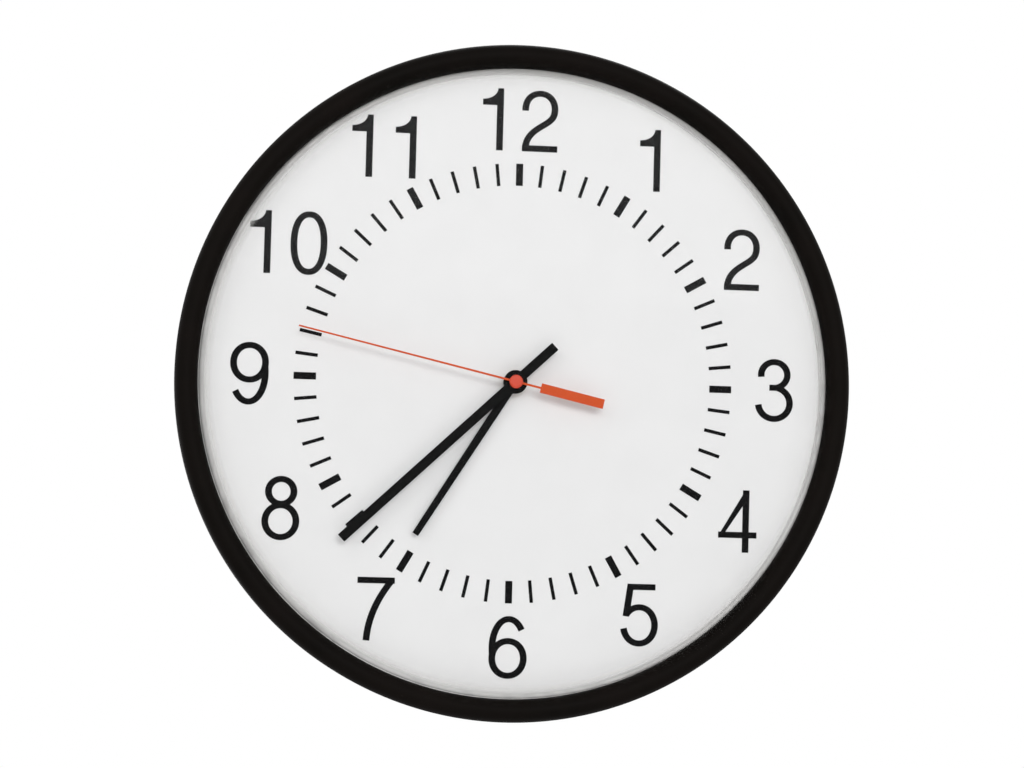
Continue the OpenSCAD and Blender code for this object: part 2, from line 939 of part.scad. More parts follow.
// Tube that presses on the arbor, closed by the round cap seen from the front.
module second_hand_cap() {
  cap_z = second_hand_z + second_hand_t;
  tube_r = second_arbor_r + collet_lip / 2;
  color("red")
    stand_up()
      union() {
        ring(tube_r, second_arbor_r + slip, second_hand_z - cap_tube_l, cap_tube_l + second_hand_t + cap_tube_sink);
        translate([0, 0, cap_z])
          rotate_extrude()
            polygon(concat(
              [[0, 0], [second_hub_r, 0]],
              arc([second_hub_r - cap_edge_r, cap_h - cap_edge_r], cap_edge_r, cap_edge_r, 0, 90, 2, 6),
              [[0, cap_h]]
            ));
      }
}

// Movement

module movement_front_shell() {
  post_z = motion_level - motion_post_drop;
  collar_z = motion_pinion_span[1] + motion_collar_gap;
  color("gainsboro")
    stand_up()
      difference() {
        union() {
          difference() {
            rounded_slab(movement_w, movement_corner_r, seam_z + shell_seam, dial_back_z - seam_z - shell_seam);
            rounded_slab(
              movement_w - 2 * shell_t, movement_corner_r - shell_t,
              seam_z - cut, inner_front_z - seam_z + cut
            );
          }
          for (c = shell_screw_corners)
            at_point(c * shell_screw_at)
              disc(shell_boss_r, seam_z + shell_seam, inner_front_z + sink - seam_z - shell_seam);
          at_point(second_middle_at)
            bearing_post(second_middle_span[1] + end_play, inner_front_z + sink);
          at_point(second_rotor_at)
            bearing_post(second_rotor_span[1] + end_play, inner_front_z + sink);
          at_point(third_at)
            bearing_post(third_span[1] + end_play, inner_front_z + sink);
          at_point(minute_middle_at)
            bearing_post(minute_middle_span[1] + end_play, inner_front_z + sink);
          at_point(minute_rotor_at)
            bearing_post(minute_rotor_span[1] + end_play, inner_front_z + sink);
          at_point(motion_at) {
            disc(motion_post_r, post_z, inner_front_z + sink - post_z);
            disc(motion_collar_r, collar_z, inner_front_z + sink - collar_z);
          }
        }
        disc(bushing_r + slip, inner_front_z - cut, shell_roof_t + 2 * cut);
        at_point(second_middle_at)
          bearing_hole(second_middle_span[1] + end_play, pivot_l + end_play);
        at_point(second_rotor_at)
          bearing_hole(second_rotor_span[1] + end_play, pivot_l + end_play);
        at_point(third_at)
          bearing_hole(third_span[1] + end_play, pivot_l + end_play);
        at_point(minute_middle_at)
          bearing_hole(minute_middle_span[1] + end_play, pivot_l + end_play);
        at_point(minute_rotor_at)
          bearing_hole(minute_rotor_span[1] + end_play, pivot_l + end_play);
        for (c = shell_screw_corners)
          at_point(c * shell_screw_at)
            disc(shell_screw_r + slip, seam_z - cut, shell_screw_l);
      }
}

module movement_rear_shell() {
  posts = [
    [second_middle_at, second_middle_span],
    [second_rotor_at, second_rotor_span],
    [third_at, third_span],
    [minute_middle_at, minute_middle_span],
    [minute_rotor_at, minute_rotor_span]
  ];
  color("silver")
    stand_up()
      difference() {
        union() {
          difference() {
            rounded_slab(movement_w, movement_corner_r, rear_z, seam_z - rear_z);
            rounded_slab(
              movement_w - 2 * shell_t, movement_corner_r - shell_t,
              inner_rear_z, seam_z - inner_rear_z + cut
            );
          }
          for (post = posts)
            at_point(post[0])
              bearing_post(rear_z + sink, post[1][0] - end_play);
          for (c = shell_screw_corners)
            at_point(c * shell_screw_at)
              disc(shell_boss_r, inner_rear_z - sink, seam_z - inner_rear_z + sink);
        }
        for (post = posts)
          at_point(post[0])
            bearing_hole(post[1][0] - end_play, -(pivot_l + end_play));
        bearing_hole(inner_rear_z, -(second_pivot_l + end_play));
        for (c = shell_screw_corners)
          at_point(c * shell_screw_at)
            disc(shell_screw_r + slip, rear_z - cut, movement_t);
        translate([header_at[0], -movement_w / 2, 0])
          block(
            [socket_w + 2 * socket_play, 4 * shell_t, socket_t + 2 * socket_play],
            [0, 0, socket_z - socket_play]
          );
      }
}

module movement_screws() {
  color("silver")
    stand_up()
      for (c = shell_screw_corners)
        translate([c[0] * shell_screw_at, c[1] * shell_screw_at, rear_z])
          screw(shell_screw_r, shell_screw_l, shell_screw_head_r, shell_screw_head_t);
}

module movement_socket() {
  color("ivory")
    stand_up()
      difference() {
        block([socket_w, socket_l, socket_t], [header_at[0], -movement_w / 2 - socket_l / 2 + shell_t, socket_z]);
        block(
          [lead_w + 2 * lead_play, 2 * lead_slot_l, lead_t + 2 * lead_play],
          [header_at[0], -movement_w / 2 - socket_l + shell_t, socket_z + socket_t / 2 - lead_t / 2 - lead_play]
        );
      }
}

module mounting_bushing() {
  color("goldenrod")
    stand_up()
      difference() {
        union() {
          disc(bushing_foot_r, inner_front_z - bushing_foot_t, bushing_foot_t);
          disc(bushing_r, inner_front_z - bushing_foot_t, bushing_top_z - inner_front_z + bushing_foot_t);
        }
        disc(hour_tube_r + run, inner_front_z - bushing_foot_t - cut, 4 * cut + bushing_top_z - inner_front_z);
      }
}

module mounting_washer() {
  color("black")
    stand_up()
      ring(washer_r, bushing_r + slip, dial_front_z, washer_t);
}

module mounting_nut() {
  color("goldenrod")
    stand_up()
      difference() {
        translate([0, 0, dial_front_z + washer_t])
          cylinder(r = nut_af / 2 / cos(30), h = nut_t, $fn = 6);
        disc(bushing_r + slip, dial_front_z, 2 * cut + nut_t + washer_t);
      }
}

// Seconds train

module second_arbor() {
  foot_z = inner_rear_z + second_arbor_lift;
  color("silver")
    stand_up()
      union() {
        disc(pivot_r, inner_rear_z - second_pivot_l, second_pivot_l + sink);
        disc(second_arbor_r, foot_z, second_hand_z + second_hand_t - cap_play - foot_z);
      }
}

module second_wheel() {
  color("white")
    stand_up()
      difference() {
        gear(wheel_teeth, fine_module, -middle_shift, second_middle_angle, second_level, wheel_t);
        disc(second_arbor_r + slip, second_level - cut, wheel_t + 2 * cut);
      }
}

module second_middle_wheel() {
  color("white")
    stand_up()
      at_point(second_middle_at)
        union() {
          arbor(second_middle_span);
          pinion(
            middle_pinion_teeth, fine_module, middle_shift,
            gap_turn(second_middle_angle, middle_pinion_teeth), second_middle_pinion_span
          );
          gear(wheel_teeth, fine_module, -rotor_shift, second_rotor_angle, second_middle_level, wheel_t);
        }
}

module rotor_pinion(span, pinion_span, line) {
  arbor(span);
  pinion(rotor_teeth, fine_module, rotor_shift, gap_turn(line, rotor_teeth), pinion_span);
}

module second_rotor_pinion() {
  color("lightblue")
    stand_up()
      at_point(second_rotor_at)
        rotor_pinion(second_rotor_span, second_rotor_pinion_span, second_rotor_angle);
}

module second_rotor_magnet() {
  color("dimgray")
    stand_up()
      at_point(second_rotor_at)
        ring(magnet_r, arbor_r + slip, second_magnet_z, magnet_t);
}

// Motor pieces, drawn about the rotor with the coil below it.
module stator(z) {
  translate([0, 0, z])
    linear_extrude(stator_t)
      difference() {
        union() {
          translate([-stator_half_l, -stator_half_w])
            square([2 * stator_half_l, 2 * stator_half_w]);
          for (x = [-stator_half_l, stator_half_l - stator_arm_w])
            translate([x, -coil_offset - core_w / 2])
              square([stator_arm_w, coil_offset]);
        }
        circle(stator_hole_r);
      }
}

module coil_core(z) {
  block([2 * stator_half_l, core_w, core_t], [0, -coil_offset, z]);
}

module along_core(x, z) {
  translate([x, -coil_offset, z + core_t / 2])
    rotate([0, 90, 0])
      children();
}

module coil_bobbin(z) {
  difference() {
    union() {
      along_core(-coil_half_l, z)
        cylinder(r = bobbin_barrel_r, h = 2 * coil_half_l);
      along_core(-coil_half_l, z)
        cylinder(r = bobbin_r, h = bobbin_flange_t);
      along_core(coil_half_l - bobbin_flange_t, z)
        cylinder(r = bobbin_r, h = bobbin_flange_t);
    }
    block([2 * stator_half_l, core_w + 2 * slip, core_t + 2 * slip], [0, -coil_offset, z - slip]);
  }
}

module coil_winding(z) {
  winding_l = 2 * (coil_half_l - bobbin_flange_t) - 2 * slip;
  difference() {
    along_core(-winding_l / 2, z)
      cylinder(r = coil_r, h = winding_l);
    along_core(-winding_l / 2 - cut, z)
      cylinder(r = bobbin_barrel_r + slip, h = winding_l + 2 * cut);
  }
}

module second_stator() {
  color("silver")
    stand_up()
      at_point(second_rotor_at)
        stator(second_magnet_z + stator_rise);
}

module second_coil_core() {
  color("gray")
    stand_up()
      at_point(second_rotor_at)
        coil_core(second_magnet_z + stator_rise + stator_t);
}

module second_coil_bobbin() {
  color("ivory")
    stand_up()
      at_point(second_rotor_at)
        coil_bobbin(second_magnet_z + stator_rise + stator_t);
}

module second_coil() {
  color("sienna")
    stand_up()
      at_point(second_rotor_at)
        coil_winding(second_magnet_z + stator_rise + stator_t);
}

// Minute train

module minute_wheel() {
  foot_z = minute_level - cannon_foot;
  color("white")
    stand_up()
      difference() {
        union() {
          gear(wheel_teeth, fine_module, -third_shift, third_angle, minute_level, wheel_t);
          pinion(cannon_teeth, cannon_module, middle_shift, motion_angle, cannon_pinion_span);
          disc(cannon_r, foot_z, minute_hand_z + hand_t + cannon_rise - foot_z);
        }
        disc(second_arbor_r + run, foot_z - cut, minute_hand_z + hand_t + cannon_rise - foot_z + 2 * cut);
      }
}

module minute_third_wheel() {
  color("white")
    stand_up()
      at_point(third_at)
        union() {
          arbor(third_span);
          gear(wheel_teeth, fine_module, -middle_shift, minute_middle_angle, third_level, wheel_t);
          pinion(
            third_pinion_teeth, fine_module, third_shift,
            gap_turn(third_angle, third_pinion_teeth), third_pinion_span
          );
        }
}

module minute_middle_wheel() {
  color("white")
    stand_up()
      at_point(minute_middle_at)
        union() {
          arbor(minute_middle_span);
          pinion(
            middle_pinion_teeth, fine_module, middle_shift,
            gap_turn(minute_middle_angle, middle_pinion_teeth), minute_middle_pinion_span
          );
          gear(wheel_teeth, fine_module, -rotor_shift, minute_rotor_angle, minute_middle_level, minute_middle_t);
        }
}

module minute_rotor_pinion() {
  color("lightblue")
    stand_up()
      at_point(minute_rotor_at)
        rotor_pinion(minute_rotor_span, minute_rotor_pinion_span, minute_rotor_angle);
}

module minute_rotor_magnet() {
  color("dimgray")
    stand_up()
      at_point(minute_rotor_at)
        ring(magnet_r, arbor_r + slip, minute_magnet_z, magnet_t);
}

module minute_stator() {
  color("silver")
    stand_up()
      at_point(minute_rotor_at)
        rotate(180)
          stator(minute_magnet_z + stator_rise);
}

module minute_coil_core() {
  color("gray")
    stand_up()
      at_point(minute_rotor_at)
        rotate(180)
          coil_core(minute_magnet_z + stator_rise + stator_t);
}

module minute_coil_bobbin() {
  color("ivory")
    stand_up()
      at_point(minute_rotor_at)
        rotate(180)
          coil_bobbin(minute_magnet_z + stator_rise + stator_t);
}

module minute_coil() {
  color("sienna")
    stand_up()
      at_point(minute_rotor_at)
        rotate(180)
          coil_winding(minute_magnet_z + stator_rise + stator_t);
}

// Motion work: turns the hour hand once for twelve turns of the minute hand.

module motion_wheel() {
  color("white")
    stand_up()
      at_point(motion_at)
        difference() {
          union() {
            gear(
              motion_teeth, cannon_module, -middle_shift,
              gap_turn(motion_angle, motion_teeth), motion_level, wheel_t
            );
            pinion(
              motion_pinion_teeth, hour_module, rotor_shift,
              gap_turn(motion_angle, motion_pinion_teeth), motion_pinion_span
            );
          }
          disc(motion_post_r + run, motion_level - cut, motion_pinion_span[1] - motion_level + 2 * cut);
        }
}

module hour_wheel() {
  color("white")
    stand_up()
      difference() {
        union() {
          gear(hour_teeth, hour_module, -rotor_shift, motion_angle, hour_level, wheel_t);
          disc(hour_tube_r, hour_level, hour_hand_z + hand_t + hour_tube_rise - hour_level);
        }
        disc(cannon_r + run, hour_level - cut, hour_hand_z + hand_t + hour_tube_rise - hour_level + 2 * cut);
      }
}

// Circuit board

module main_board() {
  color("darkgreen")
    stand_up()
      difference() {
        block([board_w, board_h, board_t], [0, board_y, board_z]);
        for (x = [-1, 1], y = [-1, 1])
          translate([x * board_hole_x, board_y + y * board_hole_y, 0])
            disc(board_screw_r + clear, board_z - cut, board_t + 2 * cut);
      }
}

module board_screws() {
  color("silver")
    stand_up()
      for (x = [-1, 1], y = [-1, 1])
        translate([x * board_hole_x, board_y + y * board_hole_y, board_front_z])
          mirror([0, 0, 1])
            screw(board_screw_r, board_screw_l, board_screw_head_r, board_screw_head_t);
}

module network_jack() {
  mouth_z = board_z - jack_mouth_top - jack_mouth_h;
  color("gray")
    stand_up()
      difference() {
        block([jack_w, jack_l, jack_h], [0, jack_mouth_y + jack_l / 2, board_z - jack_h]);
        block(
          [jack_mouth_w, jack_mouth_l + cut, jack_mouth_h],
          [0, jack_mouth_y + (jack_mouth_l - cut) / 2, mouth_z]
        );
        block(
          [jack_latch_w, jack_mouth_l + cut, jack_latch_h + sink],
          [0, jack_mouth_y + (jack_mouth_l - cut) / 2, mouth_z - jack_latch_h]
        );
      }
}

module jack_contacts() {
  contact_y = jack_mouth_y + jack_mouth_l - contact_end_gap - contact_l / 2;
  contact_z = board_z - jack_mouth_top - contact_t;
  color("gold")
    stand_up()
      for (i = [0:contact_count - 1])
        block(
          [contact_w, contact_l, contact_t],
          [(i - (contact_count - 1) / 2) * contact_pitch, contact_y, contact_z]
        );
}

module power_transformer_core() {
  color("dimgray")
    stand_up()
      difference() {
        block([transformer_w, transformer_w, transformer_h], [transformer_at[0], transformer_at[1], board_front_z]);
        block(
          [transformer_w - 2 * transformer_leg, transformer_w + 2 * cut, transformer_h - 2 * transformer_leg],
          [transformer_at[0], transformer_at[1], board_front_z + transformer_leg]
        );
      }
}

module power_transformer_bobbin() {
  window_h = transformer_h - 2 * transformer_leg - 2 * slip;
  color("goldenrod")
    stand_up()
      block(
        [transformer_w - 2 * transformer_leg - 2 * slip, transformer_w + 2 * transformer_overhang, window_h],
        [transformer_at[0], transformer_at[1], board_front_z + transformer_leg + slip]
      );
}

module processor_chip() {
  color("black")
    stand_up()
      block([processor_w, processor_w, processor_t], [processor_at[0], processor_at[1], board_front_z]);
}

module power_chip() {
  color("black")
    stand_up()
      block([power_chip_w, power_chip_h, power_chip_t], [power_chip_at[0], power_chip_at[1], board_front_z]);
}

module filter_capacitors() {
  color("midnightblue")
    stand_up()
      for (p = capacitor_at)
        at_point(p)
          disc(capacitor_r, board_front_z, capacitor_h);
}

module board_header() {
  color("ivory")
    stand_up()
      difference() {
        block([header_w, header_h, header_t], [header_at[0], header_at[1], board_front_z]);
        block(
          [lead_w + 2 * lead_play, 2 * lead_slot_l, lead_t + 2 * lead_play],
          [header_at[0], header_at[1] + header_h / 2, board_front_z + header_t / 2 - lead_t / 2 - lead_play]
        );
      }
}

// Flat lead from the socket of the movement down to the header of the board.
module motor_lead() {
  top_y = -movement_w / 2 - socket_l + shell_t + lead_slot_l - lead_play;
  top_z = socket_z + socket_t / 2;
  end_y = header_at[1] + header_h / 2 - lead_slot_l + lead_play;
  end_z = board_front_z + header_t / 2;
  drop = top_y - end_y;
  color("lightgray")
    stand_up()
      translate([header_at[0] - lead_w / 2, 0, 0])
        rotate([90, 0, 90])
          linear_extrude(lead_w)
            polygon([
              [top_y, top_z - lead_t / 2],
              [top_y, top_z + lead_t / 2],
              [top_y - drop * 0.25, top_z + lead_t / 2],
              [top_y - drop * 0.75, end_z + lead_t / 2],
              [end_y, end_z + lead_t / 2],
              [end_y, end_z - lead_t / 2],
              [top_y - drop * 0.75, end_z - lead_t / 2],
              [top_y - drop * 0.25, top_z - lead_t / 2]
            ]);
}

module reset_switch() {
  color("silver")
    stand_up()
      difference() {
        block([switch_w, switch_w, switch_t], [switch_at[0], switch_at[1], board_z - switch_t]);
        at_point(switch_at)
          disc(button_r + run, board_z - switch_t - cut, switch_t - switch_roof_t + cut);
      }
}

// Button that is pushed towards the dial with a pin through the hole in the back panel.
module reset_button() {
  color("black")
    stand_up()
      at_point(switch_at)
        disc(button_r, board_z - switch_roof_t - button_end_gap - button_travel - button_l, button_l);
}

rear_case();
front_bezel();
lens();
dial_plate();
dial_numbers();
dial_ticks();
bezel_screws();
hanger_plate();
hanger_screws();
hour_hand();
hour_hand_collet();
minute_hand();
minute_hand_collet();
second_hand();
second_hand_cap();
movement_front_shell();
movement_rear_shell();
movement_screws();
movement_socket();
mounting_bushing();
mounting_washer();
mounting_nut();
second_arbor();
second_wheel();
second_middle_wheel();
second_rotor_pinion();
second_rotor_magnet();
second_stator();
second_coil_core();
second_coil_bobbin();
second_coil();
minute_wheel();
minute_third_wheel();
minute_middle_wheel();
minute_rotor_pinion();
minute_rotor_magnet();
minute_stator();
minute_coil_core();
minute_coil_bobbin();
minute_coil();
motion_wheel();
hour_wheel();
main_board();
board_screws();
network_jack();
jack_contacts();
power_transformer_core();
power_transformer_bobbin();
processor_chip();
power_chip();
filter_capacitors();
board_header();
motor_lead();
reset_switch();
reset_button();
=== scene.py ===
"""Round wall clock on a network cable: the finish of its pieces, in metres, in the solids' frame."""
import math

import bpy
from mathutils import Matrix, Vector


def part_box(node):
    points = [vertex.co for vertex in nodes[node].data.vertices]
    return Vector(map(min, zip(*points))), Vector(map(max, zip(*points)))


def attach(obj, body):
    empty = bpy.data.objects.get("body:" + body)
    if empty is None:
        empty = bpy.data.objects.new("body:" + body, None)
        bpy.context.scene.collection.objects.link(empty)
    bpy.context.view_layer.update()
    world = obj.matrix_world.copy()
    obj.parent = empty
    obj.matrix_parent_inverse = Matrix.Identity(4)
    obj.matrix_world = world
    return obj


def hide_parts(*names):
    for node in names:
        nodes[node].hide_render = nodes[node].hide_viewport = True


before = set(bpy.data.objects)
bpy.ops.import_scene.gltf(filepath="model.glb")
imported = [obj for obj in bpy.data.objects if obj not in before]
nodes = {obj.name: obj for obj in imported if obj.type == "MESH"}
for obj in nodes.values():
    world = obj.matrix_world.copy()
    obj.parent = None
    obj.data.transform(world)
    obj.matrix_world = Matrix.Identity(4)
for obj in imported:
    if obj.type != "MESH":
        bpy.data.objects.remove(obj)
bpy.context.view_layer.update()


# View
# The clock is seen from straight in front, a little from its left and from below.
# It hangs a degree and a half off plumb, with the 12 leaning to the right. The picture's middle
# lies a little left of the dial's middle, and below it.
VIEW_AZIMUTH = math.radians(-6.5)
VIEW_ELEVATION = math.radians(-3.5)
VIEW_DISTANCE = 1.5
VIEW_LEAN = math.radians(1.5)
IMAGE_WIDTH = 1024
PIXELS_PER_METRE = 2061
DIAL_LEVEL = 0.031
AIM = Vector((-0.001, -DIAL_LEVEL, -0.0007))
away = Vector((
    math.sin(VIEW_AZIMUTH) * math.cos(VIEW_ELEVATION),
    -math.cos(VIEW_AZIMUTH) * math.cos(VIEW_ELEVATION),
    math.sin(VIEW_ELEVATION),
))
bpy.ops.object.camera_add(location=AIM + away * VIEW_DISTANCE)
camera = bpy.context.object
camera.name = "camera"
level_view = away.to_track_quat("Z", "Y").to_matrix()
camera.rotation_euler = (level_view @ Matrix.Rotation(VIEW_LEAN, 3, "Z")).to_euler()
camera.data.lens = PIXELS_PER_METRE * VIEW_DISTANCE * camera.data.sensor_width / IMAGE_WIDTH
bpy.context.scene.camera = camera
bpy.context.scene.view_settings.view_transform = "Standard"


# Studio
# A pale floor lies well below the clock, and fades to white some way off. The surround is white
# where it is seen or mirrored, and gives a dimmer light of its own. A wide soft lamp in front and
# above lights the dial and shows in the upper part of the lens. Two more stand to the left and behind.
FLOOR_LEVEL = -1.1
FLOOR_SIZE = 8
FLOOR_FADE = (1, 3.6)
SURROUND_LIGHT = 0.55
WHITE = (1, 1, 1, 1)


def srgb(red, green, blue):
    """A colour given as 0 to 255, as a shader takes it."""
    parts = [value / 255 for value in (red, green, blue)]
    linear = [part / 12.92 if part <= 0.04045 else ((part + 0.055) / 1.055) ** 2.4 for part in parts]
    return (*linear, 1)


def deselect_all():
    bpy.ops.object.select_all(action="DESELECT")


def feed(node, inputs):
    """Gives each input of a shader node its value, or links it to the output that feeds it."""
    for name, source in inputs.items():
        if isinstance(source, bpy.types.NodeSocket):
            node.id_data.links.new(source, node.inputs[name])
        else:
            node.inputs[name].default_value = source


def add(tree, kind, inputs=None, **settings):
    """A new shader node, with its settings made and its inputs fed."""
    node = tree.nodes.new(kind)
    for name, value in settings.items():
        setattr(node, name, value)
    feed(node, inputs or {})
    return node


def object_place(tree):
    """The point that is shaded, in the frame of its piece."""
    return add(tree, "ShaderNodeTexCoord").outputs["Object"]


def work_out(tree, operation, *values):
    """The result of one step of arithmetic."""
    return add(tree, "ShaderNodeMath", dict(enumerate(values)), operation=operation).outputs[0]


def ranged(tree, value, taken=(0, 1), given=(0, 1), **settings):
    """A value that is stretched from one range to another, and held at its ends."""
    ends = {"From Min": taken[0], "From Max": taken[1], "To Min": given[0], "To Max": given[1]}
    return add(tree, "ShaderNodeMapRange", {"Value": value, **ends}, **settings).outputs["Result"]


def mix_shaders(tree, share, one, other):
    """A shader that goes over into another as the share rises from 0 to 1."""
    return add(tree, "ShaderNodeMixShader", {"Fac": share, 1: one, 2: other}).outputs[0]


deselect_all()
bpy.ops.mesh.primitive_plane_add(size=FLOOR_SIZE, location=(0, 0, FLOOR_LEVEL))
floor = bpy.context.object
floor.name = "floor"
floor_paint = bpy.data.materials.new("floor_paint")
floor_paint.use_nodes = True
tree = floor_paint.node_tree
matt = tree.nodes["Principled BSDF"]
feed(matt, {"Base Color": srgb(246, 246, 246), "Roughness": 0.9})
way_off = add(tree, "ShaderNodeVectorMath", {0: object_place(tree)}, operation="LENGTH")
fade = ranged(tree, way_off.outputs["Value"], FLOOR_FADE, interpolation_type="SMOOTHSTEP")
ray = add(tree, "ShaderNodeLightPath").outputs
faded = work_out(tree, "MULTIPLY", fade, ray["Is Camera Ray"])
white = add(tree, "ShaderNodeEmission")
floor_shader = mix_shaders(tree, faded, matt.outputs[0], white.outputs[0])
feed(tree.nodes["Material Output"], {"Surface": floor_shader})
floor.data.materials.append(floor_paint)

surround = bpy.data.worlds.new("surround")
bpy.context.scene.world = surround
surround.use_nodes = True
tree = surround.node_tree
seen = tree.nodes["Background"]
feed(seen, {"Color": WHITE, "Strength": 1})
lit = add(tree, "ShaderNodeBackground", {"Color": WHITE, "Strength": SURROUND_LIGHT})
ray = add(tree, "ShaderNodeLightPath").outputs
any_seen = work_out(tree, "MAXIMUM", ray["Is Camera Ray"], ray["Is Glossy Ray"])
any_seen = work_out(tree, "MAXIMUM", any_seen, ray["Is Transmission Ray"])
surround_shader = mix_shaders(tree, any_seen, lit.outputs[0], seen.outputs[0])
feed(tree.nodes["World Output"], {"Surface": surround_shader})


def soft_lamp(name, place, width, height, power):
    """A flat lamp that faces the clock."""
    bpy.ops.object.light_add(type="AREA", location=place)
    lamp = bpy.context.object
    lamp.name = name
    lamp.data.shape = "RECTANGLE"
    lamp.data.size = width
    lamp.data.size_y = height
    lamp.data.energy = power
    lamp.rotation_euler = Vector(place).to_track_quat("Z", "Y").to_euler()


soft_lamp("lamp_front", place=(0.33, -2.87, 0.84), width=1.8, height=0.8, power=30)
soft_lamp("lamp_left", place=(-1.7, -2.0, 1.0), width=1.4, height=1.4, power=9)
soft_lamp("lamp_behind", place=(0.6, 2.2, 1.6), width=1.6, height=1.6, power=24)


# Rear case
# A black ABS moulding: a tub with a flange, ribs, vents and bosses, open to the wall at its back.
# Its corners have the small radius of the mould, and its faces a fine spark-eroded grain.
CASE_EDGE = 0.0003
SPOTS_IN_TONE = 0.35
TONE_RANGE = (0.45, 0.9)
GLOSS_RANGE = (0.3, 0.7)
SAME_POINT = 1e-6
SAME_FACE_ANGLE = math.radians(0.5)
EDGE_ANGLE = math.radians(35)


def coat(material, mask, colour, **settings):
    """Lays another colour over a finish where a mask is 1."""
    tree = material.node_tree
    base = tree.nodes["Principled BSDF"].inputs["Base Color"]
    sources = {"Factor": mask, "A": base.links[0].from_socket, "B": colour}
    over = add(tree, "ShaderNodeMix", sources, data_type="RGBA", **settings)
    tree.links.new(over.outputs["Result"], base)


def emboss(material, height, depth):
    """Adds a relief to a finish, on top of any that it has."""
    tree = material.node_tree
    normal = tree.nodes["Principled BSDF"].inputs["Normal"]
    relief = add(tree, "ShaderNodeBump", {"Height": height, "Distance": depth})
    if normal.is_linked:
        feed(relief, {"Normal": normal.links[0].from_socket})
    tree.links.new(relief.outputs["Normal"], normal)


def surface(name, dark, pale, spot, rough, relief, metal=0.0, shine=0.5, stretch=(1, 1, 1), cloud=0.03):
    """A finish with a relief of small spots, and a tone and roughness that drift over wider clouds."""
    made = bpy.data.materials.new(name)
    made.use_nodes = True
    tree = made.node_tree
    spread = add(tree, "ShaderNodeMapping", {"Vector": object_place(tree), "Scale": stretch})
    fine, wide = [
        add(tree, "ShaderNodeTexNoise", {"Vector": spread.outputs["Vector"], **grain}).outputs["Fac"]
        for grain in (
            {"Scale": 1 / spot, "Detail": 3},
            {"Scale": 1 / cloud, "Detail": 6, "Roughness": 0.65},
        )
    ]
    tone = ranged(tree, work_out(tree, "MULTIPLY_ADD", fine, SPOTS_IN_TONE, wide), TONE_RANGE)
    tones = {"Factor": tone, "A": srgb(*dark), "B": srgb(*pale)}
    colour = add(tree, "ShaderNodeMix", tones, data_type="RGBA")
    feed(tree.nodes["Principled BSDF"], {
        "Metallic": metal,
        "Specular IOR Level": shine,
        "Base Color": colour.outputs["Result"],
        "Roughness": ranged(tree, wide, GLOSS_RANGE, rough),
    })
    emboss(made, fine, relief)
    return made


def whole_copy(name, node):
    """A copy of a solid, with each flat face made whole."""
    deselect_all()
    piece = bpy.data.objects.new(name, nodes[node].data.copy())
    bpy.context.scene.collection.objects.link(piece)
    piece.data.name = name
    piece.select_set(True)
    bpy.context.view_layer.objects.active = piece
    bpy.ops.object.mode_set(mode="EDIT")
    bpy.ops.mesh.select_all(action="SELECT")
    bpy.ops.mesh.customdata_custom_splitnormals_clear()
    bpy.ops.mesh.remove_doubles(threshold=SAME_POINT)
    bpy.ops.mesh.dissolve_limited(angle_limit=SAME_FACE_ANGLE)
    bpy.ops.object.mode_set(mode="OBJECT")
    return piece


def round_off(piece, width, steps):
    """Rounds the edges of the active piece, and shades it smooth across them."""
    edges = piece.modifiers.new("edges", "BEVEL")
    edges.width = width
    edges.segments = steps
    edges.limit_method = "ANGLE"
    edges.angle_limit = EDGE_ANGLE
    bpy.ops.object.modifier_apply(modifier="edges")
    bpy.ops.object.shade_smooth_by_angle(angle=EDGE_ANGLE)


def eased(name, node, width, steps=2):
    """A copy of a solid with its edges rounded off."""
    piece = whole_copy(name, node)
    round_off(piece, width, steps)
    level = piece.modifiers.new("level", "WEIGHTED_NORMAL")
    level.keep_sharp = True
    bpy.ops.object.modifier_apply(modifier="level")
    return piece


def fit(piece, material, body, slot, *replaced):
    """Gives a new piece its finish and its body, and hides the solids that it stands for."""
    piece.data.materials.clear()
    piece.data.materials.append(material)
    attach(piece, body)
    if replaced:
        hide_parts(*replaced)


case_black = surface(
    "case_black", (22, 21, 20), (32, 30, 29), spot=0.0005, rough=(0.5, 0.65), relief=0.00003, shine=0.3
)
fit(eased("case_shell", "rear_case", CASE_EDGE), case_black, "case", "rear_case", "rear_case")


# Circuit board
# Fibreglass with copper tracks under a green mask, on four posts of the case.
# The tracks run in bundles, up and down in one field and across in the next. Some fields are a
# plain sheet of copper, and some have a tinned via in the middle.
BOARD_EDGE = 0.00015
TRACK_PITCH = 0.001
TRACK_FIELD = 0.0065
TRACK_FLANK = (0.6, 0.7)
COPPER_T = 0.00003
WAVE_LENGTH_AT_SCALE_1 = math.pi / 10
UPRIGHT_SHARE = 0.5
PLAIN_SHARE = 0.36
WITH_VIA_SHARE = 0.5
VIA_R_SHARE = 0.09
VIA_MARGIN = 0.0012


def flat_place(tree):
    """The x and the height of the point that is shaded, as a flat vector."""
    apart = add(tree, "ShaderNodeSeparateXYZ", {"Vector": object_place(tree)}).outputs
    return add(tree, "ShaderNodeCombineXYZ", {"X": apart["X"], "Y": apart["Z"]}).outputs["Vector"]


def waves(tree, place, direction, pitch):
    """Even waves, one each pitch along a direction."""
    sources = {"Vector": place, "Scale": WAVE_LENGTH_AT_SCALE_1 / pitch}
    return add(tree, "ShaderNodeTexWave", sources, bands_direction=direction).outputs["Fac"]


def within(tree, point, low, high):
    """1 where a point is inside a box, and 0 where it is outside."""
    apart = add(tree, "ShaderNodeSeparateXYZ", {"Vector": point}).outputs
    inside = 1
    for axis, bottom, top in zip("XYZ", low, high):
        between = work_out(tree, "COMPARE", apart[axis], (bottom + top) / 2, (top - bottom) / 2)
        inside = work_out(tree, "MULTIPLY", inside, between)
    return inside


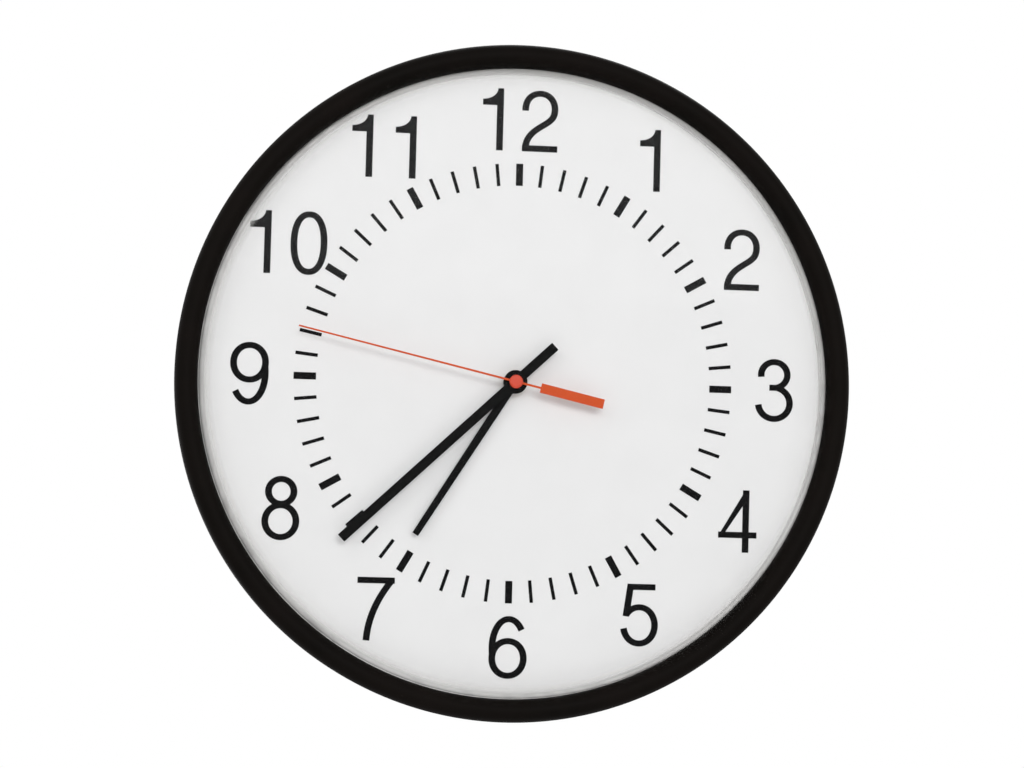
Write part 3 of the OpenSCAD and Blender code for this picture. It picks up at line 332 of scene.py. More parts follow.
board_green = surface(
    "board_green", (12, 66, 40), (18, 78, 48), spot=0.0004, rough=(0.25, 0.38), relief=0.000004, cloud=0.02
)
tree = board_green.node_tree
flat = flat_place(tree)
cells = {"Vector": flat, "Scale": 1 / TRACK_FIELD, "Randomness": 0}
fields, vias = [
    add(tree, "ShaderNodeTexVoronoi", cells, voronoi_dimensions="2D", distance=distance).outputs
    for distance in ("CHEBYCHEV", "EUCLIDEAN")
]
by_chance = add(tree, "ShaderNodeSeparateColor", {"Color": fields["Color"]}).outputs
upright = work_out(tree, "LESS_THAN", by_chance["Red"], UPRIGHT_SHARE)
plain = work_out(tree, "LESS_THAN", by_chance["Green"], PLAIN_SHARE)
with_via = work_out(tree, "LESS_THAN", by_chance["Blue"], WITH_VIA_SHARE)
across, up = [waves(tree, flat, direction, TRACK_PITCH) for direction in "XY"]
bundle = add(tree, "ShaderNodeMix", {"Factor": upright, "A": across, "B": up})
tracks = ranged(tree, bundle.outputs["Result"], TRACK_FLANK)
copper = work_out(tree, "MAXIMUM", tracks, plain)
coat(board_green, copper, srgb(34, 112, 64))
emboss(board_green, copper, COPPER_T)
low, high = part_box("main_board")
clear_of_edges = within(
    tree, vias["Position"],
    (low.x + VIA_MARGIN, low.z + VIA_MARGIN, -1), (high.x - VIA_MARGIN, high.z - VIA_MARGIN, 1),
)
tinned = work_out(tree, "LESS_THAN", vias["Distance"], VIA_R_SHARE)
for condition in (with_via, clear_of_edges):
    tinned = work_out(tree, "MULTIPLY", tinned, condition)
coat(board_green, tinned, srgb(176, 178, 176))
fit(eased("board_sheet", "main_board", BOARD_EDGE), board_green, "case", "board", "main_board")
board_front = low.y


# Chips
# Two black epoxy packages with tinned gull-wing legs: the processor has legs on all four sides,
# the power chip on two. A dimple marks the first leg.
CHIP_EDGE = 0.00012
LEG_T = 0.00015
LEG_W = 0.0003
LEG_SHOULDER_L = 0.00044
LEG_SLOPE_L = 0.00022
LEG_FOOT_L = 0.00055
LEG_STEP = 0.0004
DIMPLE_R = 0.00045
DIMPLE_INSET = 0.00117
DIMPLE_DEPTH = 0.0001
DIMPLE_STEPS = 20
CHIPS = (
    {"node": "processor_chip", "sides": 4, "legs": 13, "pitch": 0.0008},
    {"node": "power_chip", "sides": 2, "legs": 4, "pitch": 0.00127},
)


def paint(material, *names):
    """Gives solids that keep their shape a better finish."""
    for name in names:
        slots = nodes[name].data.materials
        if not slots:
            slots.append(material)
        for index in range(len(slots)):
            slots[index] = material


def settle(piece, place=(0, 0, 0), turn=(0, 0, 0)):
    """Moves and turns a piece, and keeps that in its mesh."""
    deselect_all()
    piece.location = place
    piece.rotation_euler = turn
    piece.select_set(True)
    bpy.context.view_layer.objects.active = piece
    bpy.ops.object.transform_apply()
    return piece


def cube(size, middle=(0, 0, 0)):
    """A plain block, the only piece that is selected."""
    deselect_all()
    bpy.ops.mesh.primitive_cube_add(size=1, location=middle)
    piece = bpy.context.object
    piece.scale = size
    bpy.ops.object.transform_apply()
    return piece


def copy_of(piece, name):
    """A copy with a mesh of its own."""
    made = piece.copy()
    made.data = piece.data.copy()
    made.name = made.data.name = name
    bpy.context.scene.collection.objects.link(made)
    return made


def joined(pieces, name):
    """Several pieces made one."""
    deselect_all()
    for piece in pieces:
        piece.select_set(True)
    bpy.context.view_layer.objects.active = pieces[0]
    bpy.ops.object.join()
    pieces[0].name = pieces[0].data.name = name
    return pieces[0]


def cut_out(piece, cutter):
    """Takes one shape out of another, and leaves the piece selected."""
    deselect_all()
    bpy.context.view_layer.objects.active = piece
    taking = piece.modifiers.new("taking", "BOOLEAN")
    taking.operation = "DIFFERENCE"
    taking.solver = "EXACT"
    taking.object = cutter
    bpy.ops.object.modifier_apply(modifier="taking")
    bpy.data.objects.remove(cutter)
    piece.select_set(True)


def gull_leg():
    """One leg that comes out of a chip's right side and steps down to the board."""
    leg = cube((LEG_SHOULDER_L, LEG_T, LEG_W))
    for shift in ((LEG_SLOPE_L, LEG_STEP, 0), (LEG_FOOT_L, 0, 0)):
        bpy.ops.object.mode_set(mode="EDIT")
        bpy.ops.mesh.select_all(action="DESELECT")
        bpy.ops.object.mode_set(mode="OBJECT")
        end = max(leg.data.polygons, key=lambda face: face.center.x)
        end.select = True
        bpy.ops.object.mode_set(mode="EDIT")
        bpy.ops.mesh.select_mode(type="FACE")
        bpy.ops.mesh.extrude_region_move(TRANSFORM_OT_translate={"value": shift})
        bpy.ops.object.mode_set(mode="OBJECT")
    return leg


def leg_row(leg, name, count, pitch, middle, reach, turn):
    """A row of legs on one side of a chip, that side being turned round from the right one."""
    row = []
    for index in range(count):
        along = (index - (count - 1) / 2) * pitch
        spot = Matrix.Rotation(turn, 3, "Y") @ Vector((reach, 0, along))
        row.append(settle(copy_of(leg, f"{name}_{index}"), middle + spot, (0, turn, 0)))
    return row


chip_black = surface(
    "chip_black", (24, 24, 25), (34, 34, 36), spot=0.00015, rough=(0.55, 0.7), relief=0.000008, cloud=0.004
)
tin = surface(
    "tin", (176, 178, 180), (206, 208, 208),
    spot=0.0003, rough=(0.25, 0.4), relief=0.000003, metal=1, cloud=0.003,
)
leg = gull_leg()
for chip in CHIPS:
    node = chip["node"]
    low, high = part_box(node)
    body = eased(f"{node}_body", node, CHIP_EDGE)
    deselect_all()
    bpy.ops.mesh.primitive_cylinder_add(
        vertices=DIMPLE_STEPS, radius=DIMPLE_R, depth=2 * DIMPLE_DEPTH,
        location=(low.x + DIMPLE_INSET, low.y, high.z - DIMPLE_INSET), rotation=(math.pi / 2, 0, 0),
    )
    cut_out(body, bpy.context.object)
    bpy.ops.object.shade_smooth_by_angle(angle=EDGE_ANGLE)
    fit(body, chip_black, "case", "chip_black", node)
    middle = Vector(((low.x + high.x) / 2, board_front - LEG_STEP - LEG_T / 2, (low.z + high.z) / 2))
    half = (high.x - low.x) / 2
    legs = []
    for side in range(chip["sides"]):
        turn = side * 2 * math.pi / chip["sides"]
        legs += leg_row(leg, f"{node}_{side}", chip["legs"], chip["pitch"], middle, half, turn)
    fit(joined(legs, f"{node}_legs"), tin, "case", "steel")
bpy.data.objects.remove(leg)


# Small board parts
# Chip resistors and ceramic chip capacitors are soldered in rows beside the larger parts, each
# with a tinned cap on both ends. A quartz crystal in a drawn steel can stands by the processor.
CHIP_PART_EDGE = 0.00006
CHIP_PART_EDGE_STEPS = 3
CHIP_PART_PITCH = 0.0024
RESISTOR = (0.002, 0.0005, 0.00125)
CERAMIC = (0.002, 0.0011, 0.00125)
END_CAP_SHARE = 0.22
END_CAP_PROUD = 1.04
CRYSTAL_W = 0.0045
CRYSTAL_L = 0.0105
CRYSTAL_H = 0.0034
CRYSTAL_EDGE = 0.0003
CRYSTAL_EDGE_STEPS = 4
CRYSTAL_END_STEPS = 30
CRYSTAL_FOOT = 0.0004
CRYSTAL_GAP = 0.006


def block(name, size, middle=(0, 0, 0)):
    """A small block with rounded edges."""
    piece = cube(size, middle)
    piece.name = piece.data.name = name
    round_off(piece, CHIP_PART_EDGE, CHIP_PART_EDGE_STEPS)
    return piece


def pick(piece, chosen):
    """Selects the corners of a piece that pass a test, and leaves it in edit mode."""
    bpy.context.view_layer.objects.active = piece
    bpy.ops.object.mode_set(mode="EDIT")
    bpy.ops.mesh.select_mode(type="VERT")
    bpy.ops.mesh.select_all(action="DESELECT")
    bpy.ops.object.mode_set(mode="OBJECT")
    for corner in piece.data.vertices:
        corner.select = chosen(corner)
    bpy.ops.object.mode_set(mode="EDIT")


def long_round(name, width, length, height, edge, foot):
    """A can with half-round ends that stands off the board, its foot at a (x, y, up) place."""
    deselect_all()
    bpy.ops.mesh.primitive_cylinder_add(
        vertices=CRYSTAL_END_STEPS, radius=width / 2, depth=height, rotation=(math.pi / 2, 0, 0)
    )
    piece = bpy.context.object
    piece.name = piece.data.name = name
    bpy.ops.object.transform_apply()
    for side in (-1, 1):
        pick(piece, lambda corner: corner.co.z * side > 0)
        bpy.ops.transform.translate(value=(0, 0, side * (length - width) / 2))
        bpy.ops.object.mode_set(mode="OBJECT")
    round_off(piece, edge, CRYSTAL_EDGE_STEPS)
    return settle(piece, (foot[0], foot[1] - height / 2, foot[2]))


def row_beside(node, side, gap, count):
    """(x, up, turn) of each part in a row beside a solid, at a gap from its right, left or top."""
    low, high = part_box(node)
    middle = (low + high) / 2
    steps = [(index - (count - 1) / 2) * CHIP_PART_PITCH for index in range(count)]
    if side == "top":
        return [(middle.x + step, high.z + gap, math.pi / 2) for step in steps]
    x = high.x + gap if side == "right" else low.x - gap
    return [(x, middle.z + step, 0) for step in steps]


resistor_black = surface(
    "resistor_black", (18, 18, 22), (30, 30, 34),
    spot=0.0003, rough=(0.3, 0.45), relief=0.000004, cloud=0.002,
)
ceramic_tan = surface(
    "ceramic_tan", (150, 120, 88), (170, 138, 104),
    spot=0.0003, rough=(0.4, 0.55), relief=0.000006, cloud=0.002,
)
resistor_places = (
    row_beside("processor_chip", "top", gap=0.004, count=5)
    + row_beside("power_chip", "left", gap=0.0045, count=4)
)
ceramic_places = (
    row_beside("processor_chip", "right", gap=0.0045, count=4)
    + row_beside("power_transformer_core", "right", gap=0.005, count=3)
)
end_caps = []
for kind, size, glaze, slot, places in (
    ("chip_resistors", RESISTOR, resistor_black, "chip_black", resistor_places),
    ("chip_ceramics", CERAMIC, ceramic_tan, "tape", ceramic_places),
):
    length, height, width = size
    cap_l = length * END_CAP_SHARE
    middle_part = block(kind, (length - 2 * cap_l, height, width))
    cap = (cap_l, height * END_CAP_PROUD, width * END_CAP_PROUD)
    caps = joined([block("cap", cap, (side * (length - cap_l) / 2, 0, 0)) for side in (-1, 1)], "caps")
    parts = []
    for index, (x, up, turn) in enumerate(places):
        spot = (x, board_front - height * END_CAP_PROUD / 2, up)
        parts.append(settle(copy_of(middle_part, f"{kind}_{index}"), spot, (0, turn, 0)))
        end_caps.append(settle(copy_of(caps, f"{kind}_caps_{index}"), spot, (0, turn, 0)))
    for master in (middle_part, caps):
        bpy.data.objects.remove(master)
    fit(joined(parts, kind), glaze, "case", slot)
fit(joined(end_caps, "chip_end_caps"), tin, "case", "steel")
low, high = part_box("processor_chip")
crystal_foot = (low.x - CRYSTAL_GAP, board_front, (low.z + high.z) / 2)
crystal_sizes = (
    (CRYSTAL_W, CRYSTAL_L, CRYSTAL_H, CRYSTAL_EDGE),
    (CRYSTAL_W + CRYSTAL_FOOT, CRYSTAL_L + CRYSTAL_FOOT, CRYSTAL_FOOT, CRYSTAL_FOOT / 4),
)
crystal = joined([long_round("crystal", *size, crystal_foot) for size in crystal_sizes], "crystal_can")
fit(crystal, tin, "case", "steel")


# Filter capacitors
# Two aluminium cans with a groove above the base and a scored top, each in a dark blue sleeve
# that is shrunk over its rim. A pale stripe marks the negative side.
SLEEVE_T = 0.00015
CAN_GROOVE_LEVEL = 0.0016
CAN_GROOVE_DEPTH = 0.00035
CAN_GROOVE_SWEEP = 70
CAN_RIM = 0.0007
CAN_STEPS = 40
SCORE_W = 0.00025
SCORE_DEPTH = 0.0001
STRIPE_W = 0.0026
STRIPE_LIFT = 0.00045
CORNER_STEPS = 6
TURNED_EDGE_ANGLE = math.radians(40)
FIRST_POINT_SIZE = 0.001


def arc(centre, across, up, start, end, steps, power=2):
    """(radius, level) points on an ellipse-like arc; a power above 2 squares it off."""
    points = []
    for index in range(steps + 1):
        angle = math.radians(start + (end - start) * index / steps)
        c, s = math.cos(angle), math.sin(angle)
        points.append((
            centre[0] + across * math.copysign(abs(c) ** (2 / power), c),
            centre[1] + up * math.copysign(abs(s) ** (2 / power), s),
        ))
    return points


def turned(name, outline, steps, axis=(0, 0)):
    """Spins an outline of (radius, level) points round an axis that points out of the wall."""
    deselect_all()
    radius, level = outline[0]
    first = (axis[0] + radius, -level, axis[1])
    bpy.ops.mesh.primitive_plane_add(size=FIRST_POINT_SIZE, location=first)
    piece = bpy.context.object
    piece.name = piece.data.name = name
    bpy.ops.object.transform_apply()
    bpy.ops.object.mode_set(mode="EDIT")
    bpy.ops.mesh.select_mode(type="VERT")
    bpy.ops.mesh.select_all(action="SELECT")
    bpy.ops.mesh.merge(type="CENTER")
    for (r0, l0), (r1, l1) in zip(outline, outline[1:]):
        bpy.ops.mesh.extrude_vertices_move(TRANSFORM_OT_translate={"value": (r1 - r0, l0 - l1, 0)})
    bpy.ops.mesh.select_all(action="SELECT")
    bpy.ops.mesh.spin(
        steps=steps, angle=2 * math.pi, center=(axis[0], 0, axis[1]), axis=(0, 1, 0), use_auto_merge=False
    )
    bpy.ops.mesh.select_all(action="SELECT")
    bpy.ops.mesh.remove_doubles(threshold=SAME_POINT)
    bpy.ops.mesh.normals_make_consistent(inside=False)
    bpy.ops.object.mode_set(mode="OBJECT")
    bpy.ops.object.shade_smooth_by_angle(angle=TURNED_EDGE_ANGLE)
    return piece


def cross_cut(piece, place, length, width, depth):
    """Cuts a cross of two slots into a face that looks to the wall or away from it."""
    for size in ((length, 2 * depth, width), (width, 2 * depth, length)):
        cut_out(piece, cube(size, place))
    bpy.ops.object.shade_smooth_by_angle(angle=TURNED_EDGE_ANGLE)


sleeve_blue = surface(
    "sleeve_blue", (24, 30, 66), (32, 40, 82), spot=0.0006, rough=(0.28, 0.36), relief=0.000006, cloud=0.006
)
aluminium = surface(
    "aluminium", (188, 190, 192), (214, 216, 218),
    spot=0.0002, rough=(0.3, 0.42), relief=0.000004, metal=1, cloud=0.004,
)
low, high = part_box("filter_capacitors")
can_r = (high.z - low.z) / 2
can_foot, can_top = -high.y, -low.y
tree = sleeve_blue.node_tree
height_up = add(tree, "ShaderNodeSeparateXYZ", {"Vector": object_place(tree)}).outputs["Z"]
stripe_top = low.z + can_r - math.sqrt(can_r**2 - (STRIPE_W / 2) ** 2) + STRIPE_LIFT
coat(sleeve_blue, work_out(tree, "LESS_THAN", height_up, stripe_top), srgb(186, 190, 200))
for index, x in enumerate((low.x + can_r, high.x - can_r)):
    axis = (x, low.z + can_r)
    groove = can_foot + CAN_GROOVE_LEVEL
    sleeve = turned(
        f"capacitor_sleeve_{index + 1}",
        [(can_r - CAN_RIM, can_foot), (can_r - SLEEVE_T, can_foot), (can_r, can_foot + SLEEVE_T)]
        + [(can_r, groove - CAN_GROOVE_DEPTH)]
        + arc(
            (can_r, groove), -CAN_GROOVE_DEPTH, CAN_GROOVE_DEPTH,
            -CAN_GROOVE_SWEEP, CAN_GROOVE_SWEEP, CORNER_STEPS,
        )
        + [(can_r, groove + CAN_GROOVE_DEPTH)]
        + arc((can_r - CAN_RIM, can_top - CAN_RIM), CAN_RIM, CAN_RIM, 0, 90, CORNER_STEPS)
        + [(can_r - 2 * CAN_RIM, can_top), (can_r - 2 * CAN_RIM, can_top - SLEEVE_T)]
        + [(can_r - CAN_RIM, can_top - CAN_RIM), (can_r - CAN_RIM, can_foot)],
        CAN_STEPS, axis,
    )
    fit(sleeve, sleeve_blue, "case", "capacitor_sleeve", "filter_capacitors")
    can = turned(
        f"capacitor_can_{index + 1}",
        [(0, can_foot + SLEEVE_T), (can_r - CAN_RIM - SLEEVE_T, can_foot + SLEEVE_T)]
        + [(can_r - CAN_RIM - SLEEVE_T, can_top - CAN_RIM - SLEEVE_T)]
        + [(can_r - 2 * CAN_RIM - SLEEVE_T, can_top - SLEEVE_T), (0, can_top - SLEEVE_T)],
        CAN_STEPS, axis,
    )
    cross_cut(can, (axis[0], SLEEVE_T - can_top, axis[1]), can_r, SCORE_W, SCORE_DEPTH)
    fit(can, aluminium, "case", "steel")


# Power transformer
# Two E-shaped ferrite halves round a moulded bobbin. The bobbin is wound in varnished wire,
# and yellow tape in overlapping turns covers the winding.
CORE_EDGE = 0.0003
BOBBIN_EDGE = 0.0005


def ribbed(material, axis, pitch, depth, painted_groove_shade):
    """Adds straight ribs, one each pitch along an axis, to a finish, and paints shade into the grooves
    between them.
    """
    tree = material.node_tree
    ribs = waves(tree, object_place(tree), axis, pitch)
    emboss(material, ribs, depth)
    # Painted shade: the colour is darkened in the grooves of the ribs
    coat(material, 1, ranged(tree, ribs, given=(painted_groove_shade, 1)), blend_type="MULTIPLY")


ferrite = surface(
    "ferrite", (44, 44, 46), (60, 60, 62), spot=0.00025, rough=(0.6, 0.75), relief=0.00002, cloud=0.003
)
tape = surface(
    "tape", (206, 170, 52), (222, 188, 72), spot=0.0008, rough=(0.3, 0.4), relief=0.000005, cloud=0.004
)
# The tape's turns show as ribs, with painted shade in the grooves between them
ribbed(tape, "Z", pitch=0.0045, depth=0.00006, painted_groove_shade=0.8)
fit(
    eased("transformer_halves", "power_transformer_core", CORE_EDGE),
    ferrite, "case", "ferrite", "power_transformer_core",
)
fit(
    eased("transformer_winding", "power_transformer_bobbin", BOBBIN_EDGE, 3),
    tape, "case", "tape", "power_transformer_bobbin",
)


# Network jack
# A tinned steel shield folded round a black moulded body, soldered to the back of the board.
# It hangs through the case, with eight gold-plated springs in a mouth that looks down.
SHIELD_EDGE = 0.0004
SHIELD_T = 0.0005
SPRING_EDGE = 0.00012
jack_metal = surface(
    "jack_metal", (132, 134, 136), (168, 170, 172),
    spot=0.0004, rough=(0.3, 0.45), relief=0.000004, metal=1, stretch=(1, 1, 6), cloud=0.008,
)
gold = surface(
    "gold", (212, 170, 84), (232, 194, 110),
    spot=0.0002, rough=(0.18, 0.3), relief=0.000002, metal=1, cloud=0.002,
)
low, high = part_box("network_jack")
tree = jack_metal.node_tree
wall = Vector((SHIELD_T, SHIELD_T, SHIELD_T))
mouth_down = Vector((0, 0, 2 * SHIELD_T))
moulded = within(tree, object_place(tree), low + wall - mouth_down, high - wall)
coat(jack_metal, moulded, srgb(24, 24, 25))
feed(tree.nodes["Principled BSDF"], {"Metallic": work_out(tree, "SUBTRACT", 1, moulded)})
fit(eased("jack_shield", "network_jack", SHIELD_EDGE, 3), jack_metal, "case", "jack_metal", "network_jack")
fit(eased("jack_springs", "jack_contacts", SPRING_EDGE), gold, "case", "gold", "jack_contacts")


# Reset switch
# A tact switch with a pressed steel cover on the back of the board. Its round black button is
# reached with a pin, through a hole in the case.
COVER_EDGE = 0.00025
BUTTON_EDGE = 0.0005
BUTTON_STEPS = 36
zinc = surface(
    "zinc", (168, 170, 172), (206, 208, 210),
    spot=0.0012, rough=(0.28, 0.45), relief=0.000004, metal=1, cloud=0.01,
)
button_black = surface(
    "button_black", (22, 22, 22), (32, 32, 32), spot=0.0002, rough=(0.4, 0.55), relief=0.000005, cloud=0.003
)
fit(eased("switch_cover", "reset_switch", COVER_EDGE, 3), zinc, "case", "steel", "reset_switch")
low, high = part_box("reset_button")
button_r = (high.x - low.x) / 2
button = turned(
    "reset_button_turned",
    [(0, -low.y), (button_r, -low.y), (button_r, -high.y + BUTTON_EDGE)]
    + arc((button_r - BUTTON_EDGE, -high.y + BUTTON_EDGE), BUTTON_EDGE, -BUTTON_EDGE, 0, 90, CORNER_STEPS)
    + [(0, -high.y)],
    BUTTON_STEPS, (low.x + button_r, low.z + button_r),
)
fit(button, button_black, "reset_plunger", "chip_black", "reset_button")


# Board screws
# Four zinc-plated steel pan heads with a cross recess, driven from the front.
# Their threads form their own grooves in the plastic posts of the case.
SCREW_STEPS = 28
SCREW_CROWN_STEPS = 7
# Shares of the shank's radius, of one turn of the thread, and of the head's radius and height
THREAD_PITCH_SHARE = 0.75
THREAD_CORE_SHARE = 0.76
THREAD_TIP_SHARE = 0.7
THREAD_CREST = (0.3, 0.42)
THREAD_ROOT = 0.72
HEAD_RIM_SHARE = 0.1
HEAD_FOOT_SHARE = 0.94
HEAD_CROWN_SHARE = 0.6
RECESS_L_SHARE = 1.3
RECESS_W_SHARE = 0.33
RECESS_DEPTH_SHARE = 0.55
BOARD_SCREW_SHANK_R = 0.0013
BOARD_SCREW_HEAD_R = 0.0026
BOARD_SCREW_HEAD_T = 0.0014


def pan_screw(name, shank_r, shank_l, head_r, head_t):
    """A thread-forming screw on the origin, with its head on the wall's side."""
    pitch = shank_r * THREAD_PITCH_SHARE
    core_r = shank_r * THREAD_CORE_SHARE
    crown_r = head_r * HEAD_CROWN_SHARE
    crown_t = head_t * HEAD_CROWN_SHARE
    outline = [(0, shank_l), (core_r * THREAD_TIP_SHARE, shank_l)]
    for index in range(int(shank_l / pitch) - 1):
        start = shank_l - pitch * (index + 0.5)
        outline += [(core_r, start)]
        outline += [(shank_r, start - pitch * share) for share in THREAD_CREST]
        outline += [(core_r, start - pitch * THREAD_ROOT)]
    outline += [(core_r, 0), (head_r * HEAD_FOOT_SHARE, 0), (head_r, -HEAD_RIM_SHARE * head_t)]
    outline += [(head_r, crown_t - head_t)]
    outline += arc((head_r - crown_r, crown_t - head_t), crown_r, -crown_t, 0, 90, SCREW_CROWN_STEPS)
    outline += [(0, -head_t)]
    screw = turned(name, outline, SCREW_STEPS)
    cross_cut(
        screw, (0, head_t, 0),
        head_r * RECESS_L_SHARE, head_r * RECESS_W_SHARE, head_t * RECESS_DEPTH_SHARE,
    )
    return screw


def drive_in(master, node, places, level, turn=(0, 0, 0)):
    """Sets a copy of a screw at each (x, up) place, with the seat of its head at one level."""
    for index, (x, up) in enumerate(places):
        screw = settle(copy_of(master, f"{master.name}_{index + 1}"), (x, -level, up), turn)
        fit(screw, zinc, "case", "steel", node)
    bpy.data.objects.remove(master)


def corners(node, head_r):
    """Places of four like screws, from the box that they fill."""
    low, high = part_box(node)
    return [(x, up) for x in (low.x + head_r, high.x - head_r) for up in (low.z + head_r, high.z - head_r)]


low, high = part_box("board_screws")
seat = -low.y - BOARD_SCREW_HEAD_T
board_screw = pan_screw(
    "board_screw", BOARD_SCREW_SHANK_R, seat + high.y, BOARD_SCREW_HEAD_R, BOARD_SCREW_HEAD_T
)
drive_in(board_screw, "board_screws", corners("board_screws", BOARD_SCREW_HEAD_R), seat, (math.pi, 0, 0))


# Movement shells
# Two pale grey ABS halves that hold both gear trains between their bearing posts.
# The rear half is darker, and its edges are sharper, because the slot for the motor lead's socket
# ends just above its floor. Three small screws hold the halves together from behind.
SHELL_EDGE = 0.0002
SHARP_SHELL_EDGE = 0.00003
SHELL_SCREW_SHANK_R = 0.001
SHELL_SCREW_HEAD_R = 0.0018
SHELL_SCREW_HEAD_T = 0.0009
shell_pale, shell_grey = [
    surface(name, dark, pale, spot=0.0006, rough=(0.4, 0.5), relief=0.000012, cloud=0.02)
    for name, dark, pale in (
        ("shell_pale", (206, 207, 204), (216, 217, 214)),
        ("shell_grey", (172, 174, 174), (184, 186, 186)),
    )
]
fit(
    eased("movement_front_half", "movement_front_shell", SHELL_EDGE),
    shell_pale, "case", "movement_plastic", "movement_front_shell",
)
fit(
    eased("movement_rear_half", "movement_rear_shell", SHARP_SHELL_EDGE),
    shell_grey, "case", "movement_plastic", "movement_rear_shell",
)
low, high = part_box("movement_screws")
seat = -high.y + SHELL_SCREW_HEAD_T
shell_screw = pan_screw(
    "movement_screw", SHELL_SCREW_SHANK_R, -low.y - seat, SHELL_SCREW_HEAD_R, SHELL_SCREW_HEAD_T
)
three_corners = [place for place in corners("movement_screws", SHELL_SCREW_HEAD_R) if min(place) < 0]
drive_in(shell_screw, "movement_screws", three_corners, seat)


# Motors
# In each motor a two-pole ferrite magnet turns in the hole of a laminated stator. Its coil is
# wound in enamelled copper wire on a nylon bobbin, round a core that closes the stator's ends.
STATOR_EDGE = 0.00008
BOBBIN_FLANGE_EDGE = 0.00015
MAGNET_EDGE = 0.0002
MAGNET_BORE_R = 0.00092
MAGNET_STEPS = 40
COIL_BORE_R = 0.00192
COIL_STEPS = 32
WIRE_PITCH = 0.0003
WIRE_RELIEF = 0.00008
WIRE_CREST = (0.35, 0.65)
LAMINATION_T = 0.0004
lamination_steel = surface(
    "lamination_steel", (118, 120, 126), (146, 148, 152),
    spot=0.0004, rough=(0.35, 0.5), relief=0.000003, metal=1, cloud=0.006,
)
# The laminations show as ribs, with painted shade in the grooves between them
ribbed(lamination_steel, "Y", pitch=LAMINATION_T, depth=0.00001, painted_groove_shade=0.8)
nylon = surface(
    "nylon", (214, 208, 190), (226, 221, 205), spot=0.0006, rough=(0.38, 0.5), relief=0.000006, cloud=0.008
)
copper_wire = surface(
    "copper_wire", (150, 72, 34), (184, 98, 50),
    spot=0.0003, rough=(0.25, 0.35), relief=0.000003, metal=0.9, cloud=0.003,
)
magnet_grey = surface(
    "magnet_grey", (52, 52, 55), (72, 72, 76),
    spot=0.00015, rough=(0.5, 0.65), relief=0.00001, metal=0.3, cloud=0.002,
)
for motor in ("second", "minute"):
    for part in ("stator", "coil_core"):
        node = f"{motor}_{part}"
        fit(eased(f"{node}_stack", node, STATOR_EDGE, 1), lamination_steel, "case", "steel", node)
    node = f"{motor}_coil_bobbin"
    fit(eased(f"{node}_form", node, BOBBIN_FLANGE_EDGE), nylon, "case", "bobbin_plastic", node)
    node = f"{motor}_coil"
    low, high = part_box(node)
    coil_r = (high.y - low.y) / 2
    half_l = (high.x - low.x) / 2
    turns = round(2 * half_l / WIRE_PITCH)
    pitch = 2 * half_l / turns
    outline = [(COIL_BORE_R, -half_l)]
    for index in range(turns):
        start = -half_l + index * pitch
        outline += [(coil_r - WIRE_RELIEF, start)]
        outline += [(coil_r, start + pitch * share) for share in WIRE_CREST]
    outline += [(coil_r - WIRE_RELIEF, half_l), (COIL_BORE_R, half_l), (COIL_BORE_R, -half_l)]
    winding = turned(f"{motor}_winding", outline, COIL_STEPS)
    fit(settle(winding, (low + high) / 2, (0, 0, math.pi / 2)), copper_wire, "case", "copper_wire", node)
    node = f"{motor}_rotor_magnet"
    low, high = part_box(node)
    magnet_r = (high.x - low.x) / 2
    magnet = turned(
        f"{motor}_magnet_ring",
        [(MAGNET_BORE_R, -high.y), (magnet_r - MAGNET_EDGE, -high.y), (magnet_r, -high.y + MAGNET_EDGE)]
        + [(magnet_r, -low.y - MAGNET_EDGE), (magnet_r - MAGNET_EDGE, -low.y), (MAGNET_BORE_R, -low.y)]
        + [(MAGNET_BORE_R, -high.y)],
        MAGNET_STEPS, (low.x + magnet_r, low.z + magnet_r),
    )
    fit(magnet, magnet_grey, f"{motor}_rotor", "magnet", node)


# Wheels
# The wheels are moulded in white acetal with their pinions and tubes, and the rotor pinions in
# pale blue. The seconds wheel is pressed on a ground steel arbor.
gear_white = surface(
    "gear_white", (228, 228, 224), (238, 238, 235),
    spot=0.0005, rough=(0.3, 0.42), relief=0.000004, cloud=0.006,
)
pinion_blue = surface(
    "pinion_blue", (150, 184, 204), (168, 200, 218),
    spot=0.0005, rough=(0.3, 0.42), relief=0.000004, cloud=0.004,
)
ground_steel = surface(
    "ground_steel", (170, 172, 174), (196, 198, 200),
    spot=0.0001, rough=(0.18, 0.28), relief=0.000002, metal=1, stretch=(1, 8, 1), cloud=0.002,
)
paint(
    gear_white,
    "second_wheel", "second_middle_wheel", "minute_wheel", "minute_third_wheel", "minute_middle_wheel",
    "motion_wheel", "hour_wheel",
)
paint(pinion_blue, "second_rotor_pinion", "minute_rotor_pinion")
paint(ground_steel, "second_arbor")


# Motor lead
# A flat grey ribbon of four round wires side by side, their insulation grown together. It runs
# from a nylon socket on the movement to one on the board, in two soft bends.
SOCKET_EDGE = 0.0003
WIRES = 4
WIRE_STEPS = 8
VALLEY_SHARE = 0.55
BEND_L = 0.003
BEND_STEPS = 6
RIBBON_EDGE_ANGLE = math.radians(60)
ribbon_grey = surface(
    "ribbon_grey", (146, 148, 150), (160, 162, 164),
    spot=0.0006, rough=(0.45, 0.55), relief=0.000006, cloud=0.01,
)
for name, node in (("movement_plug", "movement_socket"), ("board_plug", "board_header")):
    fit(eased(name, node, SOCKET_EDGE), nylon, "case", "bobbin_plastic", node)
low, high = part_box("motor_lead")
wire_r = (high.x - low.x) / WIRES / 2
ribbon = whole_copy("ribbon", "motor_lead")
lower_end = [corner.co.y for corner in ribbon.data.vertices if corner.co.z < low.z + SAME_POINT]
lead_t = max(lower_end) - min(lower_end)
pick(ribbon, lambda corner: False)
bpy.ops.mesh.select_mode(type="EDGE")
bpy.ops.object.mode_set(mode="OBJECT")
